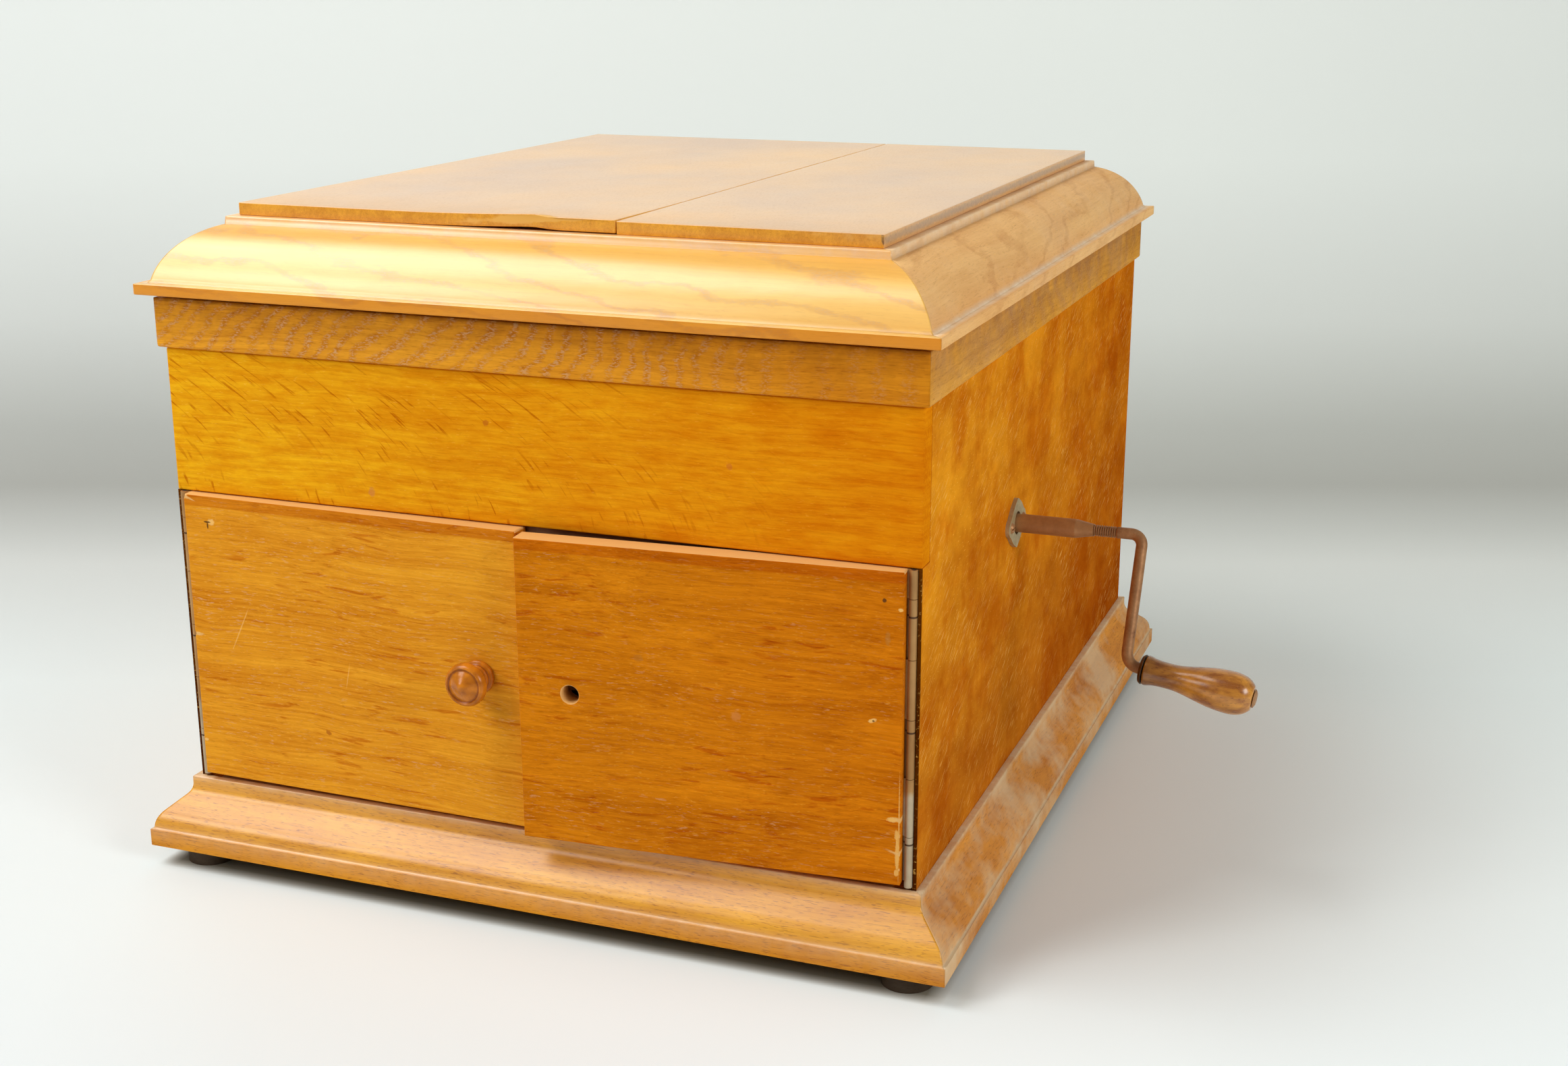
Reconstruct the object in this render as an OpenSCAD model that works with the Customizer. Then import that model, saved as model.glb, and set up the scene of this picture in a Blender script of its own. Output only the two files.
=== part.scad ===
// Table-top gramophone cabinet in oak: a case on a moulded plinth, a domed lid,
// two doors over the horn mouth, a wind-up motor, a turntable and a tone arm.
// Millimetres. +Z is up, -Y is the front. The origin is the middle of the
// plinth's underside, so the feet reach a little below zero.

/* [Case] */
// Width of the case over its two side boards
case_w = 405; // [385:1:440]
// Depth of the case from the fascia to the back
case_d = 482; // [466:1:520]
// Thickness of the side boards
side_t = 12; // [11:0.5:14]
// Thickness of the back board
back_t = 9; // [6:0.5:12]
// Thickness of the base board
base_t = 9; // [6:0.5:12]
// Height of the fascia over the doors
fascia_h = 75.3; // [72:0.1:90]
// Thickness of the fascia and of the rail under the doors
fascia_t = 12; // [10:0.5:14]
// Height of the feet
foot_h = 11; // [5:0.1:15]
// Radius of the feet
foot_r = 13; // [10:0.5:13]

/* [Plinth] */
// How far the plinth's slab stands out from the case
plinth_out = 21.2; // [20:0.1:28]
// Height of the plinth's slab
slab_h = 9.6; // [7:0.1:14]
// How far the ovolo above the slab stands out from the case
ovolo_out = 19.6; // [18:0.1:20]
// Radius of the ovolo
ovolo_r = 12.6; // [11:0.1:14]
// Radius of the cove above the ovolo
cove_r = 8.1; // [6:0.1:9]
// Angle at which the ovolo runs over into the cove
ogee_angle = 50; // [45:1:55]
// How far the plinth's top edge stands out from the case
plinth_top_out = 3.8; // [3:0.1:5]
// Height of the flat edge above the cove
plinth_edge_h = 4; // [3:0.1:6]

/* [Lid] */
// Gap between the closed lid and the case
lid_gap = 0.3; // [0.2:0.05:0.6]
// Height of the lid's band
band_h = 25.7; // [22:0.1:32]
// Thickness of the lid's band
band_t = 14.8; // [13:0.1:17]
// How far the band stands out from the case
band_out = 2.8; // [1.5:0.1:4]
// Height of the shadow groove between band and flange
groove_h = 1.8; // [1:0.1:3]
// Depth of the shadow groove
groove_in = 4.3; // [3:0.1:6]
// How far the flange stands out from the case
flange_out = 9.4; // [8:0.1:12]
// Thickness of the flange
flange_t = 5.7; // [4:0.1:7]
// Radius of the cushion moulding
cushion_r = 37.5; // [37:0.1:39]
// How far the cushion's centre lies inside the case's face
cushion_in = 32.8; // [32:0.1:34]
// How far the cushion's centre lies under the flange
cushion_drop = 3.3; // [2:0.1:4]
// Height of the cushion over the flange's underside
cushion_h = 33.2; // [32.5:0.1:34]
// Height of the small riser above the cushion
riser_h = 4.1; // [3:0.1:6]
// How far the riser lies inside the case's face
riser_in = 24.6; // [24:0.1:27]
// How far the top board's edge lies inside the case's face
top_in = 29.6; // [28:0.1:33]
// Thickness of the top board
top_t = 6.4; // [5:0.1:9]
// How far the moulding reaches inwards under the top board
ledge_in = 42; // [38:0.5:46]
// Height of the hollow inside the moulding
hollow_h = 18; // [14:0.5:19]
// Wall of the moulding outside the hollow, inside the case's face
hollow_in = 24; // [20:0.5:24]
// Place of the seam between the two top boards, right of the middle
seam_x = 39; // [-60:1:60]
// Width of the opened seam
seam_gap = 0.6; // [0.3:0.1:1.2]
// How far the lid opens, in degrees
lid_angle = 75; // [60:1:75]

/* [Doors] */
// Height of the doors
door_h = 156; // [150:1:170]
// Thickness of the doors
door_t = 12; // [10:0.5:12.5]
// How far the closed doors stand out from the fascia
door_proud = 5.3; // [4.5:0.1:6.2]
// Gap under the doors
door_foot_gap = 4; // [3:0.1:6]
// Gap between the doors and the fascia
door_head_gap = 0.5; // [0.4:0.1:2]
// Gap between the two doors where they meet
meet_gap = 3.5; // [2:0.1:5]
// Place of the meeting line, right of the middle
meet_x = 0.5; // [-4:0.5:4]
// Angle at which the right door stands ajar, in degrees
right_ajar = 3.7; // [0:0.1:8]
// Angle at which the left door stands ajar, in degrees
left_ajar = 0.8; // [0:0.1:8]
// Radius of the knob's hole in each door
knob_hole_r = 4.75; // [4:0.05:6]
// Distance of the knob from the left door's free edge
knob_in = 22.8; // [18:0.1:40]
// Distance of the knob hole from the right door's free edge
hole_in = 27; // [18:0.1:40]
// Height of the knob above the door's lower edge
knob_h = 78.5; // [60:0.5:95]
// Largest radius of the knob
knob_r = 11.2; // [9:0.1:13]

/* [Door hinges] */
// Distance of the hinge pins from the case's outer faces
hinge_in = 3.9; // [3.7:0.05:4.4]
// Radius of the hinge barrels
barrel_r = 2; // [1.8:0.05:2.1]
// Radius of the hinge pins
pin_r = 1.1; // [0.8:0.05:1.2]
// Thickness of the hinge leaves
leaf_t = 1.3; // [1:0.05:1.5]
// Length of one hinge knuckle
knuckle_l = 29.6; // [20:0.1:40]
// Length of the lowest knuckle, where the strip was cut
knuckle_first = 26; // [12:0.5:29]

/* [Deck] */
// Drop of the motor board's top below the case's rim
deck_drop = 40.2; // [40:0.1:42]
// Thickness of the motor board
deck_t = 12; // [10:0.5:13]
// Width of the cleats that carry the motor board
cleat_w = 15; // [10:0.5:18]
// Place of the turntable's spindle, right of the middle
table_x = -25; // [-30:1:-20]
// Place of the turntable's spindle behind the middle
table_y = -70; // [-76:1:-64]
// Radius of the turntable
table_r = 126; // [115:1:127]
// Height of the turntable's face over the motor board
table_h = 21; // [20:0.5:23]
// Thickness of the felt mat
felt_t = 1; // [0.5:0.1:2]

/* [Crank] */
// Drop of the crank's shaft below the motor board's top
crank_drop = 58.4; // [56:0.1:60]
// Radius of the crank's sleeve
sleeve_r = 5; // [4.8:0.1:5.6]
// Length of the sleeve outside the case, without its taper
sleeve_l = 34; // [26:0.5:45]
// Length of the sleeve's taper
taper_l = 9.5; // [6:0.5:14]
// Length of the ribbed neck of the rod
neck_l = 12; // [8:0.5:18]
// Number of ribs on the neck
neck_ribs = 10; // [5:1:14]
// Radius of the crank's rod
rod_r = 3; // [2.5:0.1:3.2]
// Distance from the case's side to the middle of the crank's arm
arm_out = 69.5; // [66:0.5:90]
// Throw of the crank
crank_throw = 70; // [50:1:80]
// Lean of the crank's arm from straight down towards the front, in degrees
crank_lean = 27.6; // [0:0.1:60]
// Angle by which the handle's pin droops outwards, in degrees
handle_droop = 8; // [0:0.5:10]
// Length of the wooden handle
handle_l = 56.5; // [45:0.5:80]
// Largest radius of the wooden handle
handle_r = 11; // [9:0.1:14]
// Thickness of the escutcheon plate
plate_t = 2.2; // [1:0.1:3]

/* [Motor] */
// Width of the motor frame
motor_w = 150; // [146:1:160]
// Depth of the motor frame
motor_d = 130; // [128:1:140]
// Thickness of the motor frame's plates
motor_t = 4; // [3:0.5:5]
// Radius of the winding shaft and the barrel's arbor
shaft_r = 4; // [3.5:0.1:4.3]
// Teeth on the winding pinion and on the intermediate pinion
pinion_teeth = 12; // [11:1:13]
// Teeth on the winding wheel
winding_teeth = 36; // [34:1:38]
// Tooth module of the winding gears
winding_module = 1.5; // [1.4:0.05:1.5]
// Teeth on the barrel's great wheel
great_teeth = 48; // [46:1:50]
// Tooth module of the great wheel and its pinion
great_module = 1.25; // [1.2:0.05:1.3]
// Radius of the intermediate worm wheel
worm_wheel_r = 16; // [14:0.5:17]
// Radius of the worm on the spindle
worm_r = 6; // [5:0.5:7]
// Radius of the governor's circle of weights
governor_r = 14; // [12:0.5:15]
// Radius of the skew wheel that drives the governor
skew_wheel_r = 14; // [12:0.5:15]

/* [Sound] */
// Place of the tone arm's pivot, right of the middle
tone_x = 120; // [117:1:124]
// Place of the tone arm's pivot behind the middle
tone_y = 110; // [104:1:116]
// Height of the tone arm's middle line over the motor board
tone_h = 59; // [58:0.5:61]
// Length from the tone arm's pivot to the needle
tone_l = 232; // [228:1:234]
// Angle of the resting tone arm to the case's side, in degrees
tone_rest = 6; // [4:0.5:7]
// Radius of the sound box
box_r = 25; // [22:0.5:26]
// Thickness of the horn's boards
horn_t = 6; // [4:0.5:7]
// Half width of the horn's mouth
mouth_half = 168; // [150:1:172]
// Height of the horn's mouth
mouth_h = 67; // [55:1:68]
// Height of the horn's narrow end
throat_h = 40; // [30:1:42]

/* [Clearances] */
// Radial clearance of a shaft in its bearing
run_gap = 0.05; // [0.02:0.01:0.1]
// Gap between parts that move past each other
move_gap = 0.3; // [0.25:0.05:0.4]

/* [Hidden] */

$fn = 48;

half_w = case_w / 2;
half_d = case_d / 2;
front_y = -half_d;
inner_x = half_w - side_t;
inner_back = half_d - back_t;
inner_front = front_y + fascia_t;
// How far a cutting piece runs past, and how far joined pieces run into each other
cut = 1;
lap = 0.05;

// The plinth's ogee: the ovolo and the cove share a tangent at ogee_angle
ovolo_c = [ovolo_out - ovolo_r, slab_h];
cove_c = [plinth_top_out + cove_r,
    slab_h + (ovolo_r + cove_r - cos(ogee_angle) * (plinth_top_out + cove_r - ovolo_out + ovolo_r))
    / sin(ogee_angle)];
ogee_n = [cos(ogee_angle), sin(ogee_angle)];
plinth_h = cove_c[1] + plinth_edge_h;

// Heights of the case
door_z = plinth_h + door_foot_gap;
door_top = door_z + door_h;
fascia_z = door_top + door_head_gap;
case_h = fascia_z + fascia_h;
deck_z = case_h - deck_drop;
deck_under = deck_z - deck_t;

// Heights of the lid
lid_z = case_h + lid_gap;
groove_z = lid_z + band_h;
flange_z = groove_z + groove_h;
cushion_z = flange_z + cushion_h;
riser_z = cushion_z + riser_h;

// Door hinges
hinge_x = half_w - hinge_in;
leaf_out = barrel_r - 0.3;
door_edge_x = hinge_x - leaf_out - leaf_t;
door_back_y = front_y - door_proud + door_t;
shoulder_y = door_back_y + 0.7 + leaf_t;
lip_x = hinge_x + barrel_r + move_gap;
hinge_z = plinth_h + 1.6;
knuckle_gap = 0.3;
knuckle_count = ceil((door_top - hinge_z - knuckle_first) / knuckle_l) + 1;

// Lid hinges, lid stay
lid_barrel_r = 3.2;
lid_pin_r = 1.5;
lid_leaf_t = 1.5;
lid_hinge_l = 48;
lid_hinge_x = 120;
lid_hinge_y = half_d + band_out + move_gap + lid_barrel_r;
lid_hinge_z = case_h;
stay_r = 120;
stay_w = 10;
stay_t = 3;
stay_x = -inner_x + 3.5;
stay_top = -9;
stay_end = 82;
stay_gap = 1.5;

// Turntable and deck fittings
felt_z = deck_z + table_h;
mat_z = felt_z + felt_t;
record_pin_r = 3.6;
record_pin_h = 6;
record_pin_tip = 2;
rim_t = 3;
rim_h = 9;
hub_r = 12;
hub_h = 14;
brake_at = [-inner_x + 30.5, front_y + 51];
brake_pad_angle = 215;
brake_pad_r = 3;
brake_tail = 22;
brake_w = 8;
lever_t = 3;
speed_at = [table_x + 120, front_y + 41];
speed_l = 26;
cup_at = [inner_x - 40.5, front_y + 50];
cup_r = 16.5;
cup_wall = 1.5;
cup_depth = 15;
cup_rim = 5;
stem_r = 4;
stem_floor = 2;
lever_lift = 1.5;

// Crank and winding shaft
crank_y = table_y;
crank_z = deck_z - crank_drop;
sleeve_hole_r = sleeve_r + 1.3;
sleeve_start = inner_x - 4;
sleeve_end = half_w + sleeve_l;
taper_end = sleeve_end + taper_l;
socket_end = half_w + 12;
elbow_r = 6;
bend_r = 8;
bend_swell = 0.05;
arm_x = half_w + arm_out;
bend_c = [arm_x + bend_r, -(crank_throw - bend_r)];
bend_end = bend_c + bend_r * [cos(270 - handle_droop), sin(270 - handle_droop)];
ferrule_t = 2;
ferrule_at = 1;
grip_at = ferrule_at + ferrule_t + move_gap;
pin_end = grip_at + handle_l + move_gap;

// Motor
cheek_x = motor_w / 2;
motor_back = table_y + motor_d / 2;
motor_front = table_y - motor_d / 2;
plate_z = deck_under - motor_t;
bar_z = 118;
bar_h = 6;
spindle_z = bar_z + 2 + move_gap;
barrel_y = crank_y + (pinion_teeth + winding_teeth) * winding_module / 2;
barrel_z = crank_z;
great_r = great_teeth * great_module / 2;
wheel_step = (pinion_teeth + great_teeth) * great_module / 2;
inter_y = table_y + worm_wheel_r + worm_r + move_gap;
inter_z = barrel_z - sqrt(wheel_step * wheel_step - (barrel_y - inter_y) * (barrel_y - inter_y));
inter_angle = atan2(inter_z - barrel_z, inter_y - barrel_y);
drum_r = great_r - 3;
drum_x = 10;
drum_l = 30;
drum_wall = 1.5;
wheel_x = 1;
wheel_t = 8;
winding_x = 54;
worm_h = 26;
worm_teeth = 24;
worm_wheel_t = 10;
skew_teeth = 28;
governor_worm_r = 5;
governor_worm_l = 18;
governor_x = table_x - skew_wheel_r - governor_worm_r - move_gap;
governor_z = crank_z + 16;
hanger_in = 4;
flyer_y = motor_front + 14;
flyer_l = 28;
inter_shaft_r = 2.5;

// Tone arm, horn
tone_z = deck_z + tone_h;
stem_outer = 15;
base_r = 30;
base_h = 30;
collar_r = 19;
arm_r = 13;
arm_tip_r = 10.5;
tone_bore = 8;
swivel_r = 14;
neck_in = 10;
box_t = 10;
bezel_t = 2.5;
bar_t = 3.4;
bar_drop = box_r + 6;
needle_r = 0.9;
needle_tip = 3;
needle_drop = tone_h - table_h - felt_t - 1.5;
horn_floor_z = 45;
mouth_y = door_back_y + move_gap + 8;
throat_y = tone_y - 25;
throat_half = 21;
throat_t = 4;
pipe_r = 20;
pipe_bore = 16.5;

oak = "goldenrod";
dark_oak = "peru";
steel = "lightsteelblue";
brass = "darkkhaki";
iron = "dimgray";

// ---------------------------------------------------------------- helpers

// A box between two opposite corners
module block(low, high) translate(low) cube(high - low);

// Turns a piece drawn on Z so that it runs along +X, with its x on Y and its y on Z
module along_x(x, y, z) translate([x, y, z]) rotate([90, 0, 90]) children();

// Turns a piece drawn on Z so that it runs along +Y
module along_y(x, y, z) translate([x, y, z]) rotate([-90, 0, 0]) children();

// A ring or disc on Z
module disc(r, h, bore = 0) difference() {
    cylinder(r = r, h = h);
    if (bore > 0) translate([0, 0, -cut]) cylinder(r = bore, h = h + 2 * cut);
}

// One side of a mitred frame round the case: turn is 0 for the front, 90 for the right.
// The child is the section, with x outwards from the case's face and y upwards.
module mitred(turn, reach, inner, top) {
    along_front = turn % 180 == 0;
    face = along_front ? half_d : half_w;
    half = along_front ? half_w : half_d;
    rotate([0, 0, turn]) intersection() {
        translate([half + reach, -face, 0]) rotate([90, 0, -90])
            linear_extrude(2 * (half + reach)) children();
        translate([0, 0, -cut]) linear_extrude(top + 2 * cut)
            polygon([[-(half - inner), -(face - inner)], [half - inner, -(face - inner)],
                [half + reach, -(face + reach)], [-(half + reach), -(face + reach)]]);
    }
}

// A spur gear on Z, with a tooth in the middle at angle 0
module gear(teeth, module_size, thick, bore) {
    pitch_r = teeth * module_size / 2;
    root_r = pitch_r - 1.15 * module_size;
    tip_r = pitch_r + 0.8 * module_size;
    step = 360 / teeth;
    difference() {
        linear_extrude(thick) polygon([for (i = [0 : teeth - 1]) for (p = [[-0.24, root_r],
            [-0.1, tip_r], [0.1, tip_r], [0.24, root_r]])
            p[1] * [cos((i + p[0]) * step), sin((i + p[0]) * step)]]);
        translate([0, 0, -cut]) cylinder(r = bore, h = thick + 2 * cut);
    }
}

// ---------------------------------------------------------------- case

module plinth_section() {
    square([plinth_out, slab_h]);
    intersection() {
        translate(ovolo_c) circle(r = ovolo_r);
        square([ovolo_out, plinth_h]);
    }
    difference() {
        polygon([[0, slab_h], ovolo_c + [ovolo_r * ogee_n[0], 0], ovolo_c + ovolo_r * ogee_n,
            cove_c - cove_r * ogee_n, [cove_c[0] - cove_r * ogee_n[0], plinth_h], [0, plinth_h]]);
        translate(cove_c) circle(r = cove_r);
        translate([plinth_top_out, cove_c[1]]) square([cove_r, plinth_edge_h + cut]);
    }
}

module plinth_side(turn) color(oak) mitred(turn, plinth_out, 0, plinth_h) plinth_section();

module base_board() color(dark_oak)
    block([-inner_x, front_y + fascia_t, 0], [inner_x, inner_back, base_t]);

module feet() color("saddlebrown")
    for (sx = [-1, 1]) for (sy = [-1, 1])
        translate([sx * (half_w - 3), sy * (half_d + 1), -foot_h])
            cylinder(r = foot_r, h = foot_h);

// The side board, drawn for the right: the fascia laps its front edge, and below
// the fascia the edge is rebated for the door's hinge, behind a thin lip
module side_board() {
    difference() {
        union() {
            block([inner_x, front_y, 0], [half_w, half_d, fascia_z]);
            block([inner_x, inner_front, fascia_z], [half_w, half_d, case_h]);
        }
        block([inner_x - cut, front_y - cut, plinth_h], [lip_x, shoulder_y, fascia_z]);
    }
}

module side_left() color(oak) mirror([1, 0, 0]) side_board();

module side_right() color(oak) difference() {
    side_board();
    along_x(inner_x - cut, crank_y, crank_z) cylinder(r = sleeve_hole_r, h = side_t + 2 * cut);
}

module back_board() color(dark_oak)
    block([-inner_x, inner_back, 0], [inner_x, half_d, case_h]);

module front_fascia() color(oak)
    block([-half_w, front_y, fascia_z], [half_w, inner_front, case_h]);

module bottom_rail() color(oak)
    block([-inner_x, front_y, 0], [inner_x, inner_front, plinth_h]);

// The board behind the doors, with the mouth of the horn
module horn_mouth_board() color(dark_oak) difference() {
    block([-inner_x, door_back_y + move_gap, plinth_h], [inner_x, mouth_y, fascia_z]);
    block([-mouth_half, front_y - cut, horn_floor_z],
        [mouth_half, mouth_y + cut, horn_floor_z + mouth_h]);
}

module deck_cleats() color(dark_oak)
    for (s = [-1, 1])
        block([s < 0 ? -inner_x : inner_x - cleat_w, inner_front + 15, deck_under - cleat_w],
            [s < 0 ? -inner_x + cleat_w : inner_x, tone_y - 5, deck_under]);

module motor_board() color("sienna") difference() {
    block([-inner_x, inner_front, deck_under], [inner_x, inner_back, deck_z]);
    translate([table_x, table_y, 0]) cylinder(r = 2 * shaft_r + 1, h = deck_z + cut);
    translate([tone_x, tone_y, 0]) cylinder(r = pipe_bore, h = deck_z + cut);
    translate([cup_at[0], cup_at[1], 0]) cylinder(r = cup_r + cup_wall + 0.1, h = deck_z + cut);
    for (at = [brake_at, speed_at])
        translate([at[0], at[1], deck_under + stem_floor]) cylinder(r = stem_r + run_gap, h = deck_t);
    stay_ring(stay_r - stay_w / 2 - stay_gap, stay_r + stay_w / 2 + stay_gap,
        stay_x - stay_gap, stay_t + 2 * stay_gap);
}

// ---------------------------------------------------------------- lid

module band_section() translate([band_out - band_t, lid_z]) {
    square([band_t, band_h]);
    square([band_t - groove_in, band_h + groove_h]);
}

module lid_band(turn) color(dark_oak) mitred(turn, band_out, band_t, flange_z) band_section();

// The cushion, the flange under it and the step over it, hollowed on the inside
module moulding_section() translate([0, flange_z]) difference() {
    union() {
        intersection() {
            translate([-cushion_in, -cushion_drop]) circle(r = cushion_r, $fn = 96);
            translate([-ledge_in, 0]) square([ledge_in + flange_out, cushion_h]);
        }
        translate([-ledge_in, 0]) square([ledge_in + flange_out, flange_t]);
        translate([-ledge_in, hollow_h - 2])
            square([ledge_in - riser_in, riser_z - flange_z - hollow_h + 2]);
    }
    translate([-ledge_in, -cut]) square([ledge_in - hollow_in, hollow_h + cut]);
}

module lid_moulding(turn) color(oak) mitred(turn, flange_out, ledge_in, riser_z) moulding_section();

module lid_top(x0, x1) color("burlywood")
    block([x0, -half_d + top_in, riser_z], [x1, half_d - top_in, riser_z + top_t]);

module lid_top_left() lid_top(-half_w + top_in, seam_x - seam_gap / 2);

module lid_top_right() lid_top(seam_x + seam_gap / 2, half_w - top_in);

// Cranked butt hinges at the back: the case leaves carry the two outer knuckles
module lid_knuckle(x, l, bore) along_x(x, lid_hinge_y, lid_hinge_z) disc(lid_barrel_r, l, bore);

lid_third = (lid_hinge_l - 2 * move_gap) / 3;

module lid_hinge_case_leaves() color(steel)
    for (s = [-1, 1]) translate([s * lid_hinge_x - lid_hinge_l / 2, 0, 0]) {
        block([0, half_d, case_h - 24], [lid_hinge_l, half_d + lid_leaf_t, case_h - 6]);
        for (x = [0, 2 * (lid_third + move_gap)]) {
            difference() {
                block([x, half_d, case_h - 6 - lap], [x + lid_third, lid_hinge_y, case_h - 2.2]);
                along_x(x - cut, lid_hinge_y, lid_hinge_z)
                    cylinder(r = lid_barrel_r - 0.4, h = lid_third + 2 * cut);
            }
            lid_knuckle(x, lid_third, lid_pin_r);
        }
    }

module lid_hinge_lid_leaves() color(steel)
    for (s = [-1, 1]) translate([s * lid_hinge_x - lid_hinge_l / 2, half_d + band_out, 0]) {
        block([0, 0, case_h + lid_barrel_r + 1], [lid_hinge_l, lid_leaf_t, groove_z - 2]);
        difference() {
            block([lid_third + move_gap, 0, case_h + 0.5],
                [2 * lid_third + move_gap, lid_leaf_t, case_h + lid_barrel_r + 1 + lap]);
            along_x(0, lid_barrel_r + move_gap, lid_hinge_z)
                cylinder(r = lid_barrel_r - 0.4, h = lid_hinge_l);
        }
        translate([0, -half_d - band_out, 0]) lid_knuckle(lid_third + move_gap, lid_third,
            lid_pin_r + run_gap);
    }

module hinge_pins() color(steel) {
    for (s = [-1, 1]) {
        along_x(s * lid_hinge_x - lid_hinge_l / 2, lid_hinge_y, lid_hinge_z)
            cylinder(r = lid_pin_r, h = lid_hinge_l);
        translate([s * hinge_x, front_y, hinge_z]) cylinder(r = pin_r, h = door_top - hinge_z);
    }
}

// A quadrant of flat bar round the lid's hinge line
module stay_ring(r0, r1, x, t) along_x(x, lid_hinge_y, lid_hinge_z) difference() {
    cylinder(r = r1, h = t, $fn = 96);
    translate([0, 0, -cut]) cylinder(r = r0, h = t + 2 * cut, $fn = 96);
}

module lid_stay() color(steel) {
    reach = 2 * stay_r;
    intersection() {
        stay_ring(stay_r - stay_w / 2, stay_r + stay_w / 2, stay_x, stay_t);
        along_x(stay_x - cut, lid_hinge_y, lid_hinge_z) linear_extrude(stay_t + 2 * cut)
            polygon([[0, 0], reach * [-cos(stay_top), -sin(stay_top)],
                reach * [-cos(36), -sin(36)], reach * [-cos(stay_end), -sin(stay_end)]]);
    }
    // the foot that is screwed to the band
    block([-inner_x, lid_hinge_y - stay_r - 9, lid_z + 5],
        [stay_x + stay_t, lid_hinge_y - stay_r + 5, lid_z + 19]);
}

// A staple on the side board that keeps the stay upright
module lid_stay_guide() color(steel) difference() {
    block([-inner_x, lid_hinge_y - stay_r - 8, case_h - 12],
        [stay_x + stay_t + 2.5, lid_hinge_y - stay_r + 8, case_h - 4]);
    stay_ring(stay_r - stay_w / 2 - 1, stay_r + stay_w / 2 + 1, stay_x - 0.5, stay_t + 1);
}

// ---------------------------------------------------------------- doors

// Turns a closed door's pieces to the angle at which they stand: side is -1 for the left
module as_ajar(side, angle) translate([side * hinge_x, front_y, 0]) rotate([0, 0, side * angle])
    translate([-side * hinge_x, -front_y, 0]) children();

module door_board(x0, x1, hole_x) difference() {
    block([x0, door_back_y - door_t, door_z], [x1, door_back_y, door_top]);
    along_y(hole_x, door_back_y - door_t - cut, door_z + knob_h)
        cylinder(r = knob_hole_r, h = door_t + 2 * cut);
}

left_free = meet_x - meet_gap / 2;
right_free = meet_x + meet_gap / 2;
knob_x = left_free - knob_in;

module left_door() color(oak) as_ajar(-1, left_ajar)
    door_board(-door_edge_x, left_free, knob_x);

module right_door() color(oak) as_ajar(1, right_ajar)
    door_board(right_free, door_edge_x, right_free + hole_in);

// The turned knob: a collar, a waisted neck and a domed face with a bead
module door_knob() color("chocolate") as_ajar(-1, left_ajar)
    translate([knob_x, door_back_y - door_t, door_z + knob_h]) rotate([90, 0, 0]) {
        rotate_extrude() polygon([[0, 0], [8.4, 0], [8.8, 1.2], [8.2, 2.6], [6.9, 3.2],
            [7.2, 4.2], [6.4, 5.2], [5.2, 6], [5, 7.4], [6.2, 9], [8.8, 10.2], [knob_r - 0.6, 11.4],
            [knob_r, 13.4], [knob_r - 0.5, 15.4], [knob_r - 1.8, 16.8], [knob_r - 2.7, 16.2],
            [6, 17.2], [3.4, 18.6], [1.6, 19.4], [0, 19.6]]);
        translate([0, 0, -door_t + 1]) cylinder(r = knob_hole_r - run_gap, h = door_t);
    }

// The knuckles of one leaf of a door hinge; even is 0 or 1
module knuckle_set(even) for (k = [0 : knuckle_count - 1]) {
    low = k == 0 ? hinge_z : hinge_z + knuckle_first + (k - 1) * knuckle_l + knuckle_gap;
    high = min(door_top, hinge_z + knuckle_first + k * knuckle_l);
    if (k % 2 == even && high - low > 1) translate([0, 0, low]) linear_extrude(high - low)
        children();
}

// The leaf on the door's edge, drawn for the right door when closed
module door_leaf() difference() {
    union() {
        block([door_edge_x, front_y + 1.6, door_z], [hinge_x - leaf_out, door_back_y - 0.4,
            door_top]);
        knuckle_set(1) {
            translate([door_edge_x, front_y]) square([leaf_t, 1.6 + lap]);
            translate([hinge_x, front_y]) circle(r = barrel_r);
        }
    }
    translate([hinge_x, front_y, 0]) cylinder(r = pin_r + run_gap, h = case_h);
}

// The cranked leaf on the side board, drawn for the right door
module case_leaf() difference() {
    union() {
        block([inner_x + 1, shoulder_y - leaf_t, hinge_z], [hinge_x + barrel_r, shoulder_y,
            door_top]);
        block([hinge_x + barrel_r - leaf_t, front_y + 2.3, hinge_z], [hinge_x + barrel_r,
            shoulder_y, door_top]);
        knuckle_set(0) {
            translate([hinge_x + barrel_r - leaf_t, front_y]) square([leaf_t, 2.3 + lap]);
            translate([hinge_x, front_y]) circle(r = barrel_r);
        }
    }
    translate([hinge_x, front_y, 0]) cylinder(r = pin_r, h = case_h);
}

module door_hinge_case_leaves() color(brass) {
    case_leaf();
    mirror([1, 0, 0]) case_leaf();
}

module left_door_hinge_leaf() color(brass) as_ajar(-1, left_ajar) mirror([1, 0, 0]) door_leaf();

module right_door_hinge_leaf() color(brass) as_ajar(1, right_ajar) door_leaf();

// ---------------------------------------------------------------- crank

screw_out = 12.1;

// The stamped lozenge plate with its two screws
module crank_escutcheon() color(brass) along_x(half_w, crank_y, crank_z) difference() {
    union() {
        linear_extrude(plate_t) polygon([[-14, -4.6], [-7.5, -10], [-2.5, -12.6], [2.5, -12.6],
            [7.5, -10], [14, -4.6], [14, 4.6], [7.5, 10], [2.5, 12.6], [-2.5, 12.6], [-7.5, 10],
            [-14, 4.6]]);
        for (s = [-1, 1]) {
            translate([s * 13, 0, 0]) cylinder(r = 4.7, h = plate_t);
            translate([0, s * 10.6, 0]) cylinder(r = 3, h = plate_t);
        }
    }
    translate([0, 0, -cut]) cylinder(r = sleeve_hole_r, h = plate_t + 2 * cut);
    for (s = [-1, 1]) translate([s * screw_out, 0, -cut]) cylinder(r = 1.5, h = plate_t + 2 * cut);
}

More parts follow.
